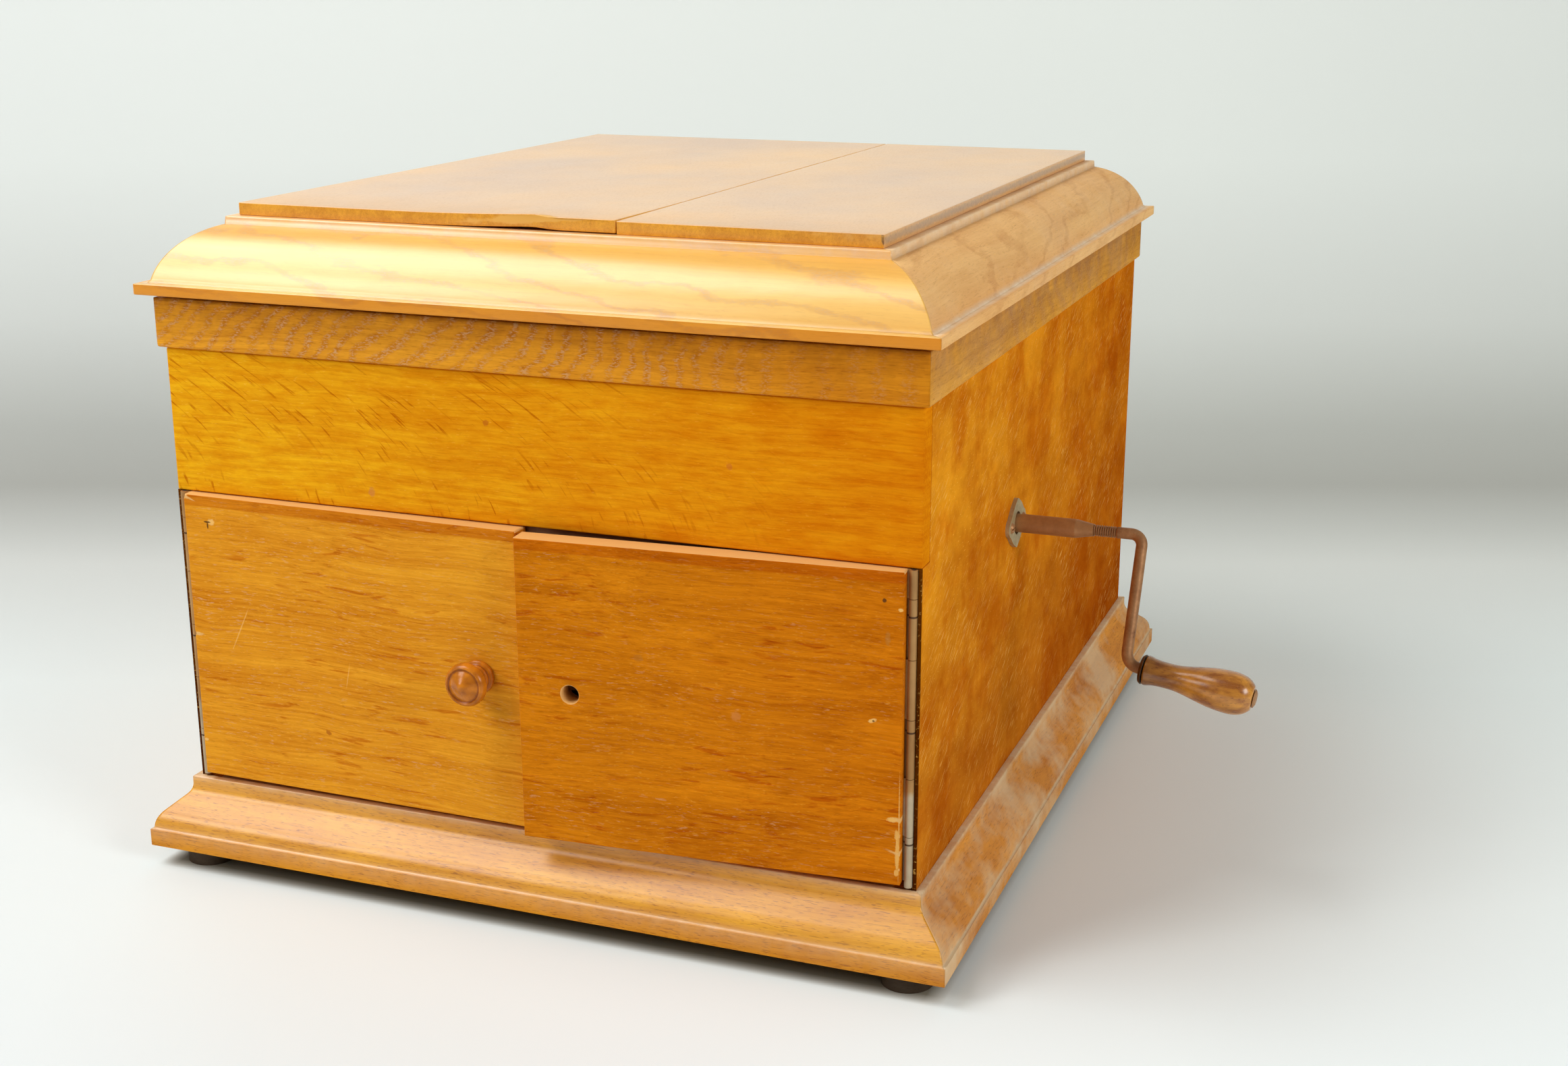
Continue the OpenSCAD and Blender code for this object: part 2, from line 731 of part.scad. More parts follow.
module escutcheon_screws() color(steel)
    for (s = [-1, 1]) along_x(half_w + plate_t, crank_y + s * screw_out, crank_z) {
        difference() {
            cylinder(r1 = 3, r2 = 2.2, h = 1.2);
            translate([-3, -0.4, 0.6]) cube([6, 0.8, 1]);
        }
        translate([0, 0, -plate_t]) cylinder(r = 1.5 - run_gap, h = plate_t);
    }

module winding_shaft() color(steel) along_x(0, crank_y, crank_z) {
    translate([0, 0, winding_x - 4]) cylinder(r = shaft_r, h = socket_end - winding_x + 4);
    translate([0, 0, winding_x]) gear(pinion_teeth, winding_module, wheel_t, shaft_r - 0.5);
}

module crank_sleeve() color("rosybrown") along_x(0, crank_y, crank_z) difference() {
    union() {
        translate([0, 0, sleeve_start]) cylinder(r = sleeve_r, h = sleeve_end - sleeve_start);
        translate([0, 0, sleeve_end]) cylinder(r1 = sleeve_r, r2 = rod_r + 0.2, h = taper_l);
    }
    translate([0, 0, sleeve_start - cut]) cylinder(r = shaft_r + run_gap,
        h = socket_end - sleeve_start + cut);
    translate([0, 0, sleeve_end - 8]) cylinder(r = rod_r - 0.6 + run_gap, h = taper_l + 8 + cut);
}

// Everything on the crank is drawn with its arm straight down and then leaned
module at_crank() translate([0, crank_y, crank_z]) rotate([-crank_lean, 0, 0]) children();

// The handle's pin, drawn on Z from the end of the lower bend
module at_pin() at_crank() translate([bend_end[0], 0, bend_end[1]])
    rotate([0, 90 + handle_droop, 0]) children();

module crank_rod() color("rosybrown") {
    at_crank() {
        rotate([0, 90, 0]) {
            translate([0, 0, sleeve_end - 7]) cylinder(r = rod_r - 0.6, h = taper_l + 7 + lap);
            translate([0, 0, taper_end]) cylinder(r = rod_r - 0.4, h = neck_l);
            for (i = [0 : neck_ribs - 1])
                translate([0, 0, taper_end + (i + 0.2) * neck_l / neck_ribs])
                    cylinder(r = rod_r, h = 0.6 * neck_l / neck_ribs);
            translate([0, 0, taper_end + neck_l])
                cylinder(r = rod_r, h = arm_x - elbow_r - taper_end - neck_l + lap);
        }
        translate([arm_x - elbow_r, 0, -elbow_r]) rotate([90, 0, 0])
            rotate_extrude(angle = 90) translate([elbow_r, 0]) circle(r = rod_r + bend_swell);
        translate([arm_x, 0, bend_c[1] - lap])
            cylinder(r = rod_r, h = -elbow_r - bend_c[1] + 2 * lap);
        translate([bend_c[0], 0, bend_c[1]]) rotate([90, 0, 0]) rotate([0, 0, 180])
            rotate_extrude(angle = 90 - handle_droop) translate([bend_r, 0])
                circle(r = rod_r + bend_swell);
    }
    at_pin() {
        translate([0, 0, -lap]) cylinder(r = rod_r, h = pin_end + lap);
        translate([0, 0, pin_end - lap]) cylinder(r1 = rod_r + 2, r2 = rod_r, h = 1.2);
    }
}

module crank_ferrule() color(brass) at_pin() translate([0, 0, ferrule_at])
    difference() {
        cylinder(r1 = 6.6, r2 = 7.9, h = ferrule_t);
        translate([0, 0, -cut]) cylinder(r = rod_r, h = ferrule_t + 2 * cut);
    }

module crank_handle() color("chocolate") at_pin() translate([0, 0, grip_at])
    rotate_extrude() polygon([[rod_r + run_gap, 0], [7.4, 0], [7.9, 1], [7.6, 2.4],
        [6.9, 0.12 * handle_l], [6.7, 0.24 * handle_l], [0.66 * handle_r, 0.36 * handle_l],
        [0.8 * handle_r, 0.5 * handle_l], [0.93 * handle_r, 0.62 * handle_l],
        [handle_r, 0.75 * handle_l], [0.98 * handle_r, 0.84 * handle_l],
        [0.86 * handle_r, 0.92 * handle_l], [0.66 * handle_r, 0.98 * handle_l],
        [0.54 * handle_r, handle_l], [rod_r + run_gap, handle_l]]);

// ---------------------------------------------------------------- motor

// A cast frame: the plate under the motor board, two cheeks, the lower bar that
// carries the spindle, and two hangers for the governor
module motor_frame() color(iron) difference() {
    union() {
        block([-cheek_x, motor_front, plate_z], [cheek_x, motor_back, deck_under]);
        for (x = [-cheek_x, cheek_x - motor_t])
            block([x, table_y - 14, bar_z], [x + motor_t, motor_back, plate_z]);
        block([-cheek_x, table_y - 7, bar_z], [cheek_x, table_y + 7, bar_z + bar_h]);
        for (y = [motor_front + hanger_in, motor_back - 3 * hanger_in])
            block([governor_x - 6, y, governor_z - 7], [governor_x + 6, y + motor_t, plate_z]);
    }
    translate([table_x, table_y, plate_z - cut]) cylinder(r = shaft_r + run_gap, h = motor_t + 2);
    translate([table_x, table_y, spindle_z - move_gap]) cylinder(r = shaft_r + run_gap, h = bar_h);
    along_x(0, crank_y, crank_z) cylinder(r = shaft_r + run_gap, h = motor_w);
    along_x(-motor_w, barrel_y, barrel_z) cylinder(r = shaft_r + run_gap, h = 2 * motor_w);
    along_x(-motor_w, inter_y, inter_z) cylinder(r = inter_shaft_r + run_gap, h = 2 * motor_w);
    along_y(governor_x, motor_front - cut, governor_z)
        cylinder(r = inter_shaft_r + run_gap, h = motor_d + 2);
}

module barrel_arbor() color(steel) along_x(0, barrel_y, barrel_z) {
    translate([0, 0, -cheek_x]) cylinder(r = shaft_r, h = motor_w);
    translate([0, 0, winding_x]) rotate(180 + 180 / winding_teeth)
        gear(winding_teeth, winding_module, wheel_t, shaft_r - 0.5);
}

module spring_barrel() color(brass) along_x(0, barrel_y, barrel_z) {
    translate([0, 0, wheel_x]) rotate(inter_angle + 180 / great_teeth)
        gear(great_teeth, great_module, wheel_t, shaft_r + run_gap);
    translate([0, 0, wheel_x + wheel_t]) difference() {
        cylinder(r = drum_r, h = drum_l);
        translate([0, 0, -cut]) cylinder(r = shaft_r + run_gap, h = drum_l + 2 * cut);
        translate([0, 0, -cut]) cylinder(r = drum_r - drum_wall, h = drum_l - 1);
    }
}

module mainspring() color("slategray") along_x(wheel_x + wheel_t + 1, barrel_y, barrel_z)
    disc(drum_r - drum_wall, drum_l - 5, 3 * shaft_r);

module intermediate_wheel() color(steel) along_x(0, inter_y, inter_z) {
    translate([0, 0, -cheek_x]) cylinder(r = inter_shaft_r, h = motor_w);
    translate([0, 0, wheel_x]) rotate(inter_angle + 180)
        gear(pinion_teeth, great_module, wheel_t, inter_shaft_r - 0.5);
    translate([0, 0, table_x - worm_wheel_t / 2])
        gear(worm_teeth, 2 * worm_wheel_r / (worm_teeth + 1.6), worm_wheel_t, inter_shaft_r - 0.5);
}

module turntable_spindle() color(steel) translate([table_x, table_y, 0]) {
    translate([0, 0, spindle_z]) cylinder(r = shaft_r, h = mat_z - spindle_z);
    translate([0, 0, spindle_z]) cylinder(r = record_pin_r, h = mat_z + record_pin_h - spindle_z);
    translate([0, 0, mat_z + record_pin_h - lap])
        cylinder(r1 = record_pin_r, r2 = 1.5, h = record_pin_tip + lap);
    translate([0, 0, inter_z - worm_h / 2]) cylinder(r = worm_r, h = worm_h);
    translate([0, 0, governor_z - wheel_t / 2])
        gear(skew_teeth, 2 * skew_wheel_r / (skew_teeth + 1.6), wheel_t, shaft_r - 0.5);
}

// A worm, three weights on flat springs, and the friction disc
module governor() color(brass) along_y(governor_x, 0, governor_z) {
    translate([0, 0, motor_front + hanger_in]) cylinder(r = inter_shaft_r, h = motor_d - 3 * hanger_in);
    translate([0, 0, table_y - governor_worm_l / 2])
        cylinder(r = governor_worm_r, h = governor_worm_l);
    for (y = [flyer_y, flyer_y + flyer_l])
        translate([0, 0, y]) cylinder(r = 6, h = 4);
    for (a = [0 : 120 : 240]) rotate(a) {
        translate([-3, 3, flyer_y + 2]) cube([6, 1, flyer_l]);
        translate([-3, 3, flyer_y + flyer_l / 2]) cube([6, governor_r - 6, 4]);
        translate([0, governor_r - 4, flyer_y + flyer_l / 2 - 2]) cylinder(r = 5, h = 8);
    }
    translate([0, 0, table_y + 24]) cylinder(r = governor_r, h = 2);
}

// ---------------------------------------------------------------- deck

module turntable() color("gray") translate([table_x, table_y, 0]) rotate_extrude($fn = 96)
    polygon([[shaft_r, felt_z - hub_h], [hub_r, felt_z - hub_h], [hub_r + 2, felt_z - rim_t],
        [table_r - rim_t, felt_z - rim_t], [table_r - rim_t, felt_z - rim_h],
        [table_r, felt_z - rim_h], [table_r, felt_z - 1], [table_r - 1, felt_z], [shaft_r, felt_z]]);

module turntable_felt() color("darkgreen") translate([table_x, table_y, felt_z])
    disc(table_r - rim_t, felt_t, shaft_r);

module tone_arm_base() color(steel) translate([tone_x, tone_y, deck_z]) difference() {
    union() {
        cylinder(r = base_r, h = 4);
        cylinder(r1 = collar_r + 3, r2 = collar_r, h = base_h);
    }
    translate([0, 0, -cut]) cylinder(r = stem_outer + run_gap, h = base_h + 2 * cut);
}

// The tone arm lies along +X in its own frame, on its middle line, and its left is +Y
module at_tone() translate([tone_x, tone_y, tone_z]) rotate([0, 0, tone_rest - 90])
    mirror([0, 1, 0]) children();

stem_z = deck_z + 2 - tone_z;
elbow = 22;
neck_reach = 12;
arm_end = tone_l - swivel_r - neck_reach;

module tone_arm() color("silver") at_tone() difference() {
    union() {
        translate([0, 0, stem_z]) cylinder(r = stem_outer, h = -elbow - stem_z);
        translate([0, 0, deck_z + base_h + move_gap - tone_z]) cylinder(r = collar_r, h = 4);
        translate([elbow, 0, -elbow]) rotate([90, 0, 0]) rotate([0, 0, 90])
            rotate_extrude(angle = 90) translate([elbow, 0]) circle(r = arm_r);
        translate([elbow, 0, 0]) rotate([0, 90, 0])
            cylinder(r1 = arm_r, r2 = arm_tip_r, h = arm_end - elbow);
    }
    translate([0, 0, stem_z - cut]) cylinder(r = tone_bore + run_gap, h = -elbow - stem_z + cut);
    translate([elbow, 0, -elbow]) rotate([90, 0, 0]) rotate([0, 0, 90])
        rotate_extrude(angle = 90) translate([elbow, 0]) circle(r = tone_bore + run_gap);
    translate([elbow, 0, 0]) rotate([0, 90, 0])
        cylinder(r = tone_bore + run_gap, h = arm_end);
}

// The gooseneck turns in the end of the tone arm and holds the round sound box
module sound_box() color("silver") at_tone() {
    difference() {
        union() {
            translate([arm_end - neck_in, 0, 0]) rotate([0, 90, 0])
                cylinder(r = tone_bore, h = neck_in + neck_reach);
            translate([arm_end + move_gap, 0, 0]) rotate([0, 90, 0])
                cylinder(r = arm_tip_r, h = neck_reach - move_gap);
            translate([tone_l - swivel_r, swivel_r, 0]) rotate([0, 0, -90])
                rotate_extrude(angle = 90) translate([swivel_r, 0]) circle(r = tone_bore);
            translate([tone_l, swivel_r, 0]) rotate([-90, 0, 0]) {
                cylinder(r = tone_bore + 4, h = 4);
                translate([0, 0, 3]) cylinder(r = box_r, h = box_t);
                translate([0, 0, 3 + box_t - lap]) disc(box_r - 1.5, bezel_t, box_r - 6);
                cylinder(r = 4, h = 3 + box_t + bezel_t - 1);
            }
        }
        translate([arm_end - neck_in - cut, 0, 0]) rotate([0, 90, 0])
            cylinder(r = tone_bore - 2.5, h = neck_in + neck_reach + cut);
    }
    // the needle bar and its socket
    translate([tone_l - 2.5, swivel_r + 3 + box_t, -bar_drop]) cube([5, bar_t, bar_drop - 2]);
}

module needle() color("silver") at_tone()
    translate([tone_l, swivel_r + 3 + box_t + bar_t / 2, -needle_drop]) {
        cylinder(r1 = 0.2, r2 = needle_r, h = needle_tip);
        translate([0, 0, needle_tip - lap])
            cylinder(r = needle_r, h = needle_drop - bar_drop - needle_tip + lap);
    }

// The metal pipe from the tone arm down to the horn
module throat_elbow() color(iron) difference() {
    union() {
        translate([tone_x, tone_y, horn_floor_z - horn_t])
            cylinder(r = pipe_r, h = deck_under - horn_floor_z + horn_t);
        block([tone_x - throat_half - throat_t, throat_y, horn_floor_z - horn_t],
            [tone_x + throat_half + throat_t, tone_y, horn_floor_z + throat_h + horn_t]);
    }
    translate([tone_x, tone_y, horn_floor_z]) cylinder(r = pipe_bore, h = deck_z);
    block([tone_x - throat_half, throat_y - cut, horn_floor_z],
        [tone_x + throat_half, tone_y - throat_t, horn_floor_z + throat_h]);
}

// The horn's plan between two offsets from its inner walls
module horn_plan(grow) polygon([[-mouth_half - grow, mouth_y], [mouth_half + grow, mouth_y],
    [tone_x + throat_half + min(grow, throat_t), throat_y],
    [tone_x - throat_half - min(grow, throat_t), throat_y]]);

// The horn's side view, with y on x, between the floor and the sloping roof
module horn_side(low, high) rotate([90, 0, 90]) translate([0, 0, -half_w])
    linear_extrude(case_w) polygon([[mouth_y, horn_floor_z + low[0]],
        [mouth_y, horn_floor_z + high[0]], [throat_y, horn_floor_z + high[1]],
        [throat_y, horn_floor_z + low[1]]]);

module horn_boards() color(dark_oak) {
    translate([0, 0, horn_floor_z - horn_t]) linear_extrude(horn_t) horn_plan(horn_t);
    intersection() {
        linear_extrude(deck_z) horn_plan(horn_t);
        horn_side([mouth_h, throat_h], [mouth_h + horn_t, throat_h + horn_t]);
    }
    intersection() {
        linear_extrude(deck_z) difference() {
            horn_plan(horn_t);
            horn_plan(0);
        }
        horn_side([0, 0], [mouth_h, throat_h]);
    }
}

// The brake: a flat lever on a stem, with a pad beside the turntable's rim
brake_pad = [table_x, table_y] + (table_r + move_gap + brake_pad_r) * [cos(brake_pad_angle),
    sin(brake_pad_angle)];
brake_turn = atan2(brake_pad[1] - brake_at[1], brake_pad[0] - brake_at[0]);
brake_l = norm(brake_pad - brake_at);

module lever_stem(head_r) {
    translate([0, 0, stem_floor + 0.5 - deck_t]) cylinder(r = stem_r, h = deck_t);
    translate([0, 0, 0.5]) cylinder(r = head_r, h = lever_lift + lever_t + 0.5);
}

module brake_lever() color(steel) translate([brake_at[0], brake_at[1], deck_z])
    rotate([0, 0, brake_turn]) {
        lever_stem(7);
        translate([-brake_tail, -brake_w / 2, lever_lift]) cube([brake_tail + brake_l, brake_w, lever_t]);
        translate([-brake_tail, 0, lever_lift]) cylinder(r = 6, h = 3 * lever_t);
        translate([brake_l, 0, lever_lift]) cylinder(r = brake_pad_r, h = table_h - 2 * lever_lift);
    }

module speed_lever() color(steel) translate([speed_at[0], speed_at[1], deck_z]) {
    lever_stem(8);
    translate([-2.5, 0, lever_lift]) cube([5, speed_l, lever_t]);
    translate([0, speed_l, lever_lift]) cylinder(r = 4, h = 3 * lever_t);
}

module needle_cup() color("silver") translate([cup_at[0], cup_at[1], deck_z]) difference() {
    union() {
        cylinder(r = cup_r + cup_rim, h = 1);
        translate([0, 0, -cup_depth - cup_wall])
            cylinder(r = cup_r + cup_wall, h = cup_depth + cup_wall + 0.5);
    }
    translate([0, 0, -cup_depth]) cylinder(r = cup_r, h = cup_depth + 2);
}

// ---------------------------------------------------------------- assembly

base_board();
plinth_side(0);  // plinth_front
plinth_side(90);  // plinth_right
plinth_side(180);  // plinth_back
plinth_side(270);  // plinth_left
feet();
side_left();
side_right();
back_board();
front_fascia();
bottom_rail();
horn_mouth_board();
deck_cleats();
motor_board();
lid_band(0);  // lid_band_front
lid_band(90);  // lid_band_right
lid_band(180);  // lid_band_back
lid_band(270);  // lid_band_left
lid_moulding(0);  // lid_moulding_front
lid_moulding(90);  // lid_moulding_right
lid_moulding(180);  // lid_moulding_back
lid_moulding(270);  // lid_moulding_left
lid_top_left();
lid_top_right();
lid_hinge_case_leaves();
lid_hinge_lid_leaves();
hinge_pins();
lid_stay();
lid_stay_guide();
left_door();
right_door();
door_knob();
door_hinge_case_leaves();
left_door_hinge_leaf();
right_door_hinge_leaf();
crank_escutcheon();
escutcheon_screws();
winding_shaft();
crank_sleeve();
crank_rod();
crank_ferrule();
crank_handle();
motor_frame();
barrel_arbor();
spring_barrel();
mainspring();
intermediate_wheel();
turntable_spindle();
governor();
turntable();
turntable_felt();
tone_arm_base();
tone_arm();
sound_box();
needle();
throat_elbow();
horn_boards();
brake_lever();
speed_lever();
needle_cup();
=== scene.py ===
"""A table-top gramophone cabinet in golden oak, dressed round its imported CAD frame."""
import math

import bpy
import numpy as np
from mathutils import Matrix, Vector


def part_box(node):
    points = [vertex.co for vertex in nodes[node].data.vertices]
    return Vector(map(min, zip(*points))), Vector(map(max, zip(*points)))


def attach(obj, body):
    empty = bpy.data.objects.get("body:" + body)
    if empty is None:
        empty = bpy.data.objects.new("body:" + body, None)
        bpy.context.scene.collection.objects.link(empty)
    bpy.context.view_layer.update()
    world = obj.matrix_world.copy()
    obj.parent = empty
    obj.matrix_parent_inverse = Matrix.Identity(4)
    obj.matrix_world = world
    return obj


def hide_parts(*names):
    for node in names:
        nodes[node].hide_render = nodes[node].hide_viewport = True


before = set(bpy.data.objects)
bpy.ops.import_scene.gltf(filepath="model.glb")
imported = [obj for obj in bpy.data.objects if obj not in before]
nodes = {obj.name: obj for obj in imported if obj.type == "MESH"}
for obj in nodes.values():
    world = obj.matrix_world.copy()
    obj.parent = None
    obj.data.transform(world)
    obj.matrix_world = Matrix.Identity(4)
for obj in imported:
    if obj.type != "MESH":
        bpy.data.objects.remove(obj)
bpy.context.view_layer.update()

# ------------------------ the case's oak
# The case is made of oak boards, stained golden and varnished. Quarter-sawn boards
# show short slanting ray flecks, plain-sawn ones long arches, and all of them show
# open pores as fine dark dashes along the grain.


def linked(value):
    """Whether a value is another node's output and not a constant."""
    return isinstance(value, bpy.types.NodeSocket)


def feed(sockets, values):
    """Gives sockets their numbers, colours of three numbers or other nodes' outputs."""
    for key, value in values.items():
        socket = sockets[key]
        if linked(value):
            socket.id_data.links.new(value, socket)
        else:
            socket.default_value = (*value, 1.0) if socket.type == "RGBA" else value


def add(kind, values=None, tree=None, **settings):
    """Adds a shader node to the tree named, or else to that of the first output among its values."""
    values = values or {}
    tree = tree or next(value.id_data for value in values.values() if linked(value))
    made = tree.nodes.new("ShaderNode" + kind)
    for key, value in settings.items():
        setattr(made, key, value)
    feed(made.inputs, values)
    return made


def sums(operation, a, b=0.0, c=0.0, clamp=False):
    """One Math node's output."""
    return add("Math", {0: a, 1: b, 2: c}, operation=operation, use_clamp=clamp).outputs[0]


def times(a, b, clamp=False):
    """a times b."""
    return sums("MULTIPLY", a, b, clamp=clamp)


def scaled(a, by, plus, clamp=False):
    """a times by, plus a third value."""
    return sums("MULTIPLY_ADD", a, by, plus, clamp)


def vector(operation, a, b=(0.0, 0.0, 0.0)):
    """One Vector Math node's output."""
    return add("VectorMath", {0: a, 1: b}, operation=operation).outputs[0]


def part(where, axis):
    """One coordinate of a place."""
    return add("SeparateXYZ", {0: where}).outputs[axis]


def between(low, high, value):
    """0 below low, 1 above high, straight between them."""
    return add("MapRange", {0: value, 1: low, 2: high}).outputs[0]


def blended(share, a, b, how="MIX"):
    """Colour a changed towards colour b by share."""
    return add("Mix", {0: share, 6: a, 7: b}, data_type="RGBA", blend_type=how).outputs[2]


def tinted(share, colour, tint):
    """A colour multiplied by a tint, by share."""
    return blended(share, colour, tint, "MULTIPLY")


def speckle(where, scale, detail=2.0, rough=0.5, twist=0.0):
    """A noise from 0 to 1 on coordinates multiplied by the three numbers of scale."""
    return add("TexNoise", {"Vector": vector("MULTIPLY", where, scale), "Scale": 1.0, "Detail": detail,
                            "Roughness": rough, "Distortion": twist}).outputs["Fac"]


def drawn(low, high, where, along, across, detail=2.0, rough=0.5, twist=0.0):
    """A noise drawn out along X and cut to 0 below low and 1 above high."""
    return between(low, high, speckle(where, (along, across, across), detail, rough, twist))


def mapped(where, angles, at=(0.0, 0.0, 0.0), size=(1.0, 1.0, 1.0), kind="POINT"):
    """Coordinates scaled, turned by angles in degrees and moved."""
    values = {"Vector": where, "Location": at, "Rotation": np.radians(angles), "Scale": size}
    return add("Mapping", values, vector_type=kind).outputs[0]


def layer(where, name):
    """What a mesh's own layer of numbers says, in the tree of a place."""
    return add("Attribute", tree=where.id_data, attribute_name=name).outputs["Fac"]


def dented(height, strength, distance):
    """A normal from heights."""
    return add("Bump", {"Height": height, "Strength": strength, "Distance": distance}).outputs[0]


def new_group(name, ins, outs):
    """An empty node group with named sockets: ins maps a name to a default, outs to its kind."""
    tree = bpy.data.node_groups.new(name, "ShaderNodeTree")
    kinds = {float: "NodeSocketFloat", tuple: "NodeSocketColor", list: "NodeSocketVector"}
    for key, value in ins.items():
        socket = tree.interface.new_socket(name=key, in_out="INPUT", socket_type=kinds[type(value)])
        if value != []:
            socket.default_value = (*value, 1.0) if type(value) is tuple else value
    for key, kind in outs.items():
        tree.interface.new_socket(name=key, in_out="OUTPUT", socket_type=kinds[kind])
    return tree, tree.nodes.new("NodeGroupInput").outputs, tree.nodes.new("NodeGroupOutput").inputs


# Oak figure: the grain runs along the vector's X. Soft bands, fine lines and fibres and
# small pores follow it. Ray flecks cross it, steeper lower down; pale dashes are filled pores.
figure, given, gives = new_group(
    "Oak figure",
    {"Vector": [], "Pale": (1.0, 0.5, 0.1), "Deep": (0.4, 0.15, 0.02), "Pores": 0.5, "Rays": 0.0, "Bands": 0.3,
     "Lines": 0.4, "Clouds": 0.3, "Specks": 0.0, "Filled": 0.0, "Streaks": 0.0},
    {"Color": tuple, "Roughness": float, "Height": float})
spot = given["Vector"]
drift = add("TexNoise", {"Vector": spot, "Scale": 9.0, "Detail": 3.0}).outputs["Color"]
drift = vector("MULTIPLY", vector("SUBTRACT", drift, (0.5, 0.5, 0.5)), (0.02, 0.012, 0.012))
place = vector("ADD", spot, drift)
bands = drawn(0.38, 0.66, place, 3.4, 95.0, 4.0, 0.62)
lines = drawn(0.34, 0.68, place, 9.0, 620.0, 3.0, 0.65)
fibres = drawn(0.3, 0.7, place, 40.0, 1900.0, 2.0, 0.6)
pores = drawn(0.6, 0.66, place, 210.0, 1900.0, 1.0)
filled = drawn(0.6, 0.68, place, 190.0, 1200.0, 2.0, 0.6)
clouds = drawn(0.34, 0.66, spot, 13.0, 26.0, 5.0, 0.68)
along, _, height = add("SeparateXYZ", {0: spot}).outputs
rise = sums("SUBTRACT", height, 0.2)
across = sums("ADD", along, times(rise, scaled(rise, 11.0, 0.3)))
slant = add("CombineXYZ", {0: across, 2: height}).outputs[0]
flecks = between(0.6, 0.68, speckle(slant, (380.0, 1.0, 80.0), 1.5, 0.5, 0.3))
patch = between(0.4, 0.54, speckle(spot, (16.0, 9.0, 30.0)))
flecks = times(flecks, times(patch, between(0.16, 0.0, along)))
streaks = drawn(0.57, 0.66, place, 38.0, 330.0, 3.0, 0.6, 0.6)
streaks = times(streaks, drawn(0.42, 0.55, place, 11.0, 40.0, 1.0))
specks = drawn(0.66, 0.73, spot, 330.0, 1150.0, 1.0)
tone = times(bands, times(given["Bands"], 0.7))
tone = scaled(lines, times(given["Lines"], 0.6), tone)
tone = scaled(fibres, times(given["Lines"], 0.4), tone)
tone = scaled(clouds, times(given["Clouds"], 0.7), tone, clamp=True)
colour = blended(tone, given["Pale"], given["Deep"])
colour = tinted(times(streaks, given["Streaks"]), colour, (0.76, 0.52, 0.3))
dashes = times(times(pores, scaled(lines, 0.6, 0.4)), given["Pores"])
colour = tinted(dashes, colour, (0.42, 0.26, 0.16))
colour = tinted(times(flecks, given["Rays"]), colour, (0.72, 0.5, 0.38))
colour = blended(times(times(filled, bands), given["Filled"]), colour, (0.74, 0.45, 0.24))
colour = blended(times(specks, given["Specks"]), colour, (1.0, 0.57, 0.08))
feed(gives, {"Color": colour, "Roughness": scaled(dashes, 0.25, scaled(clouds, 0.08, 0.3)),
             "Height": scaled(dashes, -1.0, times(lines, 0.3))})

# Feather: the arches of a plain-sawn board. They cross the grain on a slant that changes
# along X, and each is a belt of open pores that old polish has filled.
feather, given, gives = new_group(
    "Feathered arches",
    {"Vector": [], "Pitch": 90.0, "Lean": 0.7, "Turn": -3.6, "Middle": 0.285, "Wander": 1.0, "Thin": 0.0,
     "Fade": 0.1},
    {"Arch": float, "Pores": float})
spot = given["Vector"]
along, _, height = add("SeparateXYZ", {0: spot}).outputs
shear = scaled(along, given["Turn"], given["Lean"])
phase = sums("SUBTRACT", along, times(shear, sums("SUBTRACT", height, given["Middle"])))
wander = sums("SUBTRACT", speckle(spot, (22.0, 60.0, 60.0), 4.0, 0.62), 0.5)
broad = times(sums("SUBTRACT", speckle(spot, (8.0, 16.0, 16.0), 1.0), 0.5), 2.0)
wander = times(sums("ADD", wander, broad), times(given["Wander"], 9.0))
wave = sums("SINE", scaled(phase, times(given["Pitch"], 6.2832), wander))
wave = between(sums("SUBTRACT", given["Thin"], 0.3), 1.0, wave)
start = sums("ADD", given["Fade"], 0.09)
fade = add("MapRange", {0: along, 1: start, 2: given["Fade"], 3: 0.3, 4: 1.0}).outputs[0]
patchy = drawn(0.3, 0.55, spot, 30.0, 70.0)
wave = times(times(wave, fade), scaled(patchy, 0.6, 0.4))
dots = drawn(0.47, 0.6, spot, 520.0, 1500.0, 2.0, 0.6)
feed(gives, {"Arch": wave, "Pores": times(dots, wave)})

# Wear, dust and painted shade: pale raw wood where an arris is chipped, dust in the quirks, and painted shade
# that tints the quirks darker.
wear_dust_and_shade, given, gives = new_group(
    "Wear, dust and painted quirk shade",
    {"Vector": [], "Color": (0.5, 0.5, 0.5), "Roughness": 0.4, "Raw": 0.0, "Quirk": 0.0, "Dust": 0.2,
     "Raw colour": (0.8, 0.42, 0.16), "Dust colour": (0.62, 0.5, 0.36), "Quirk shade": 0.6, "Heap": 0.0},
    {"Color": tuple, "Roughness": float})
spot = given["Vector"]
grit = drawn(0.35, 0.65, spot, 90.0, 90.0, 3.0, 0.65)
chipped = between(0.35, 0.6, scaled(grit, 0.35, given["Raw"]))
chipped = times(chipped, sums("GREATER_THAN", given["Raw"], 0.02))
film = drawn(0.43, 0.62, spot, 16.0, 20.0, 4.0, 0.66)
heap = times(given["Heap"], scaled(grit, 0.5, 0.6), clamp=True)
settled = sums("MAXIMUM", times(scaled(film, 0.8, 0.2), given["Dust"]), heap)
quirk_dust_and_shade = times(given["Quirk"], scaled(grit, 0.6, 0.4))
# painted shade: the colour is tinted darker in the quirks
shaded_quirks = tinted(times(quirk_dust_and_shade, given["Quirk shade"]), given["Color"], (0.22, 0.12, 0.06))
dusty = blended(scaled(quirk_dust_and_shade, given["Dust"], settled, clamp=True), shaded_quirks, given["Dust colour"])
rough = scaled(settled, 0.45, given["Roughness"])
feed(gives, {"Color": blended(chipped, dusty, given["Raw colour"]),
             "Roughness": scaled(chipped, 0.35, rough, clamp=True)})


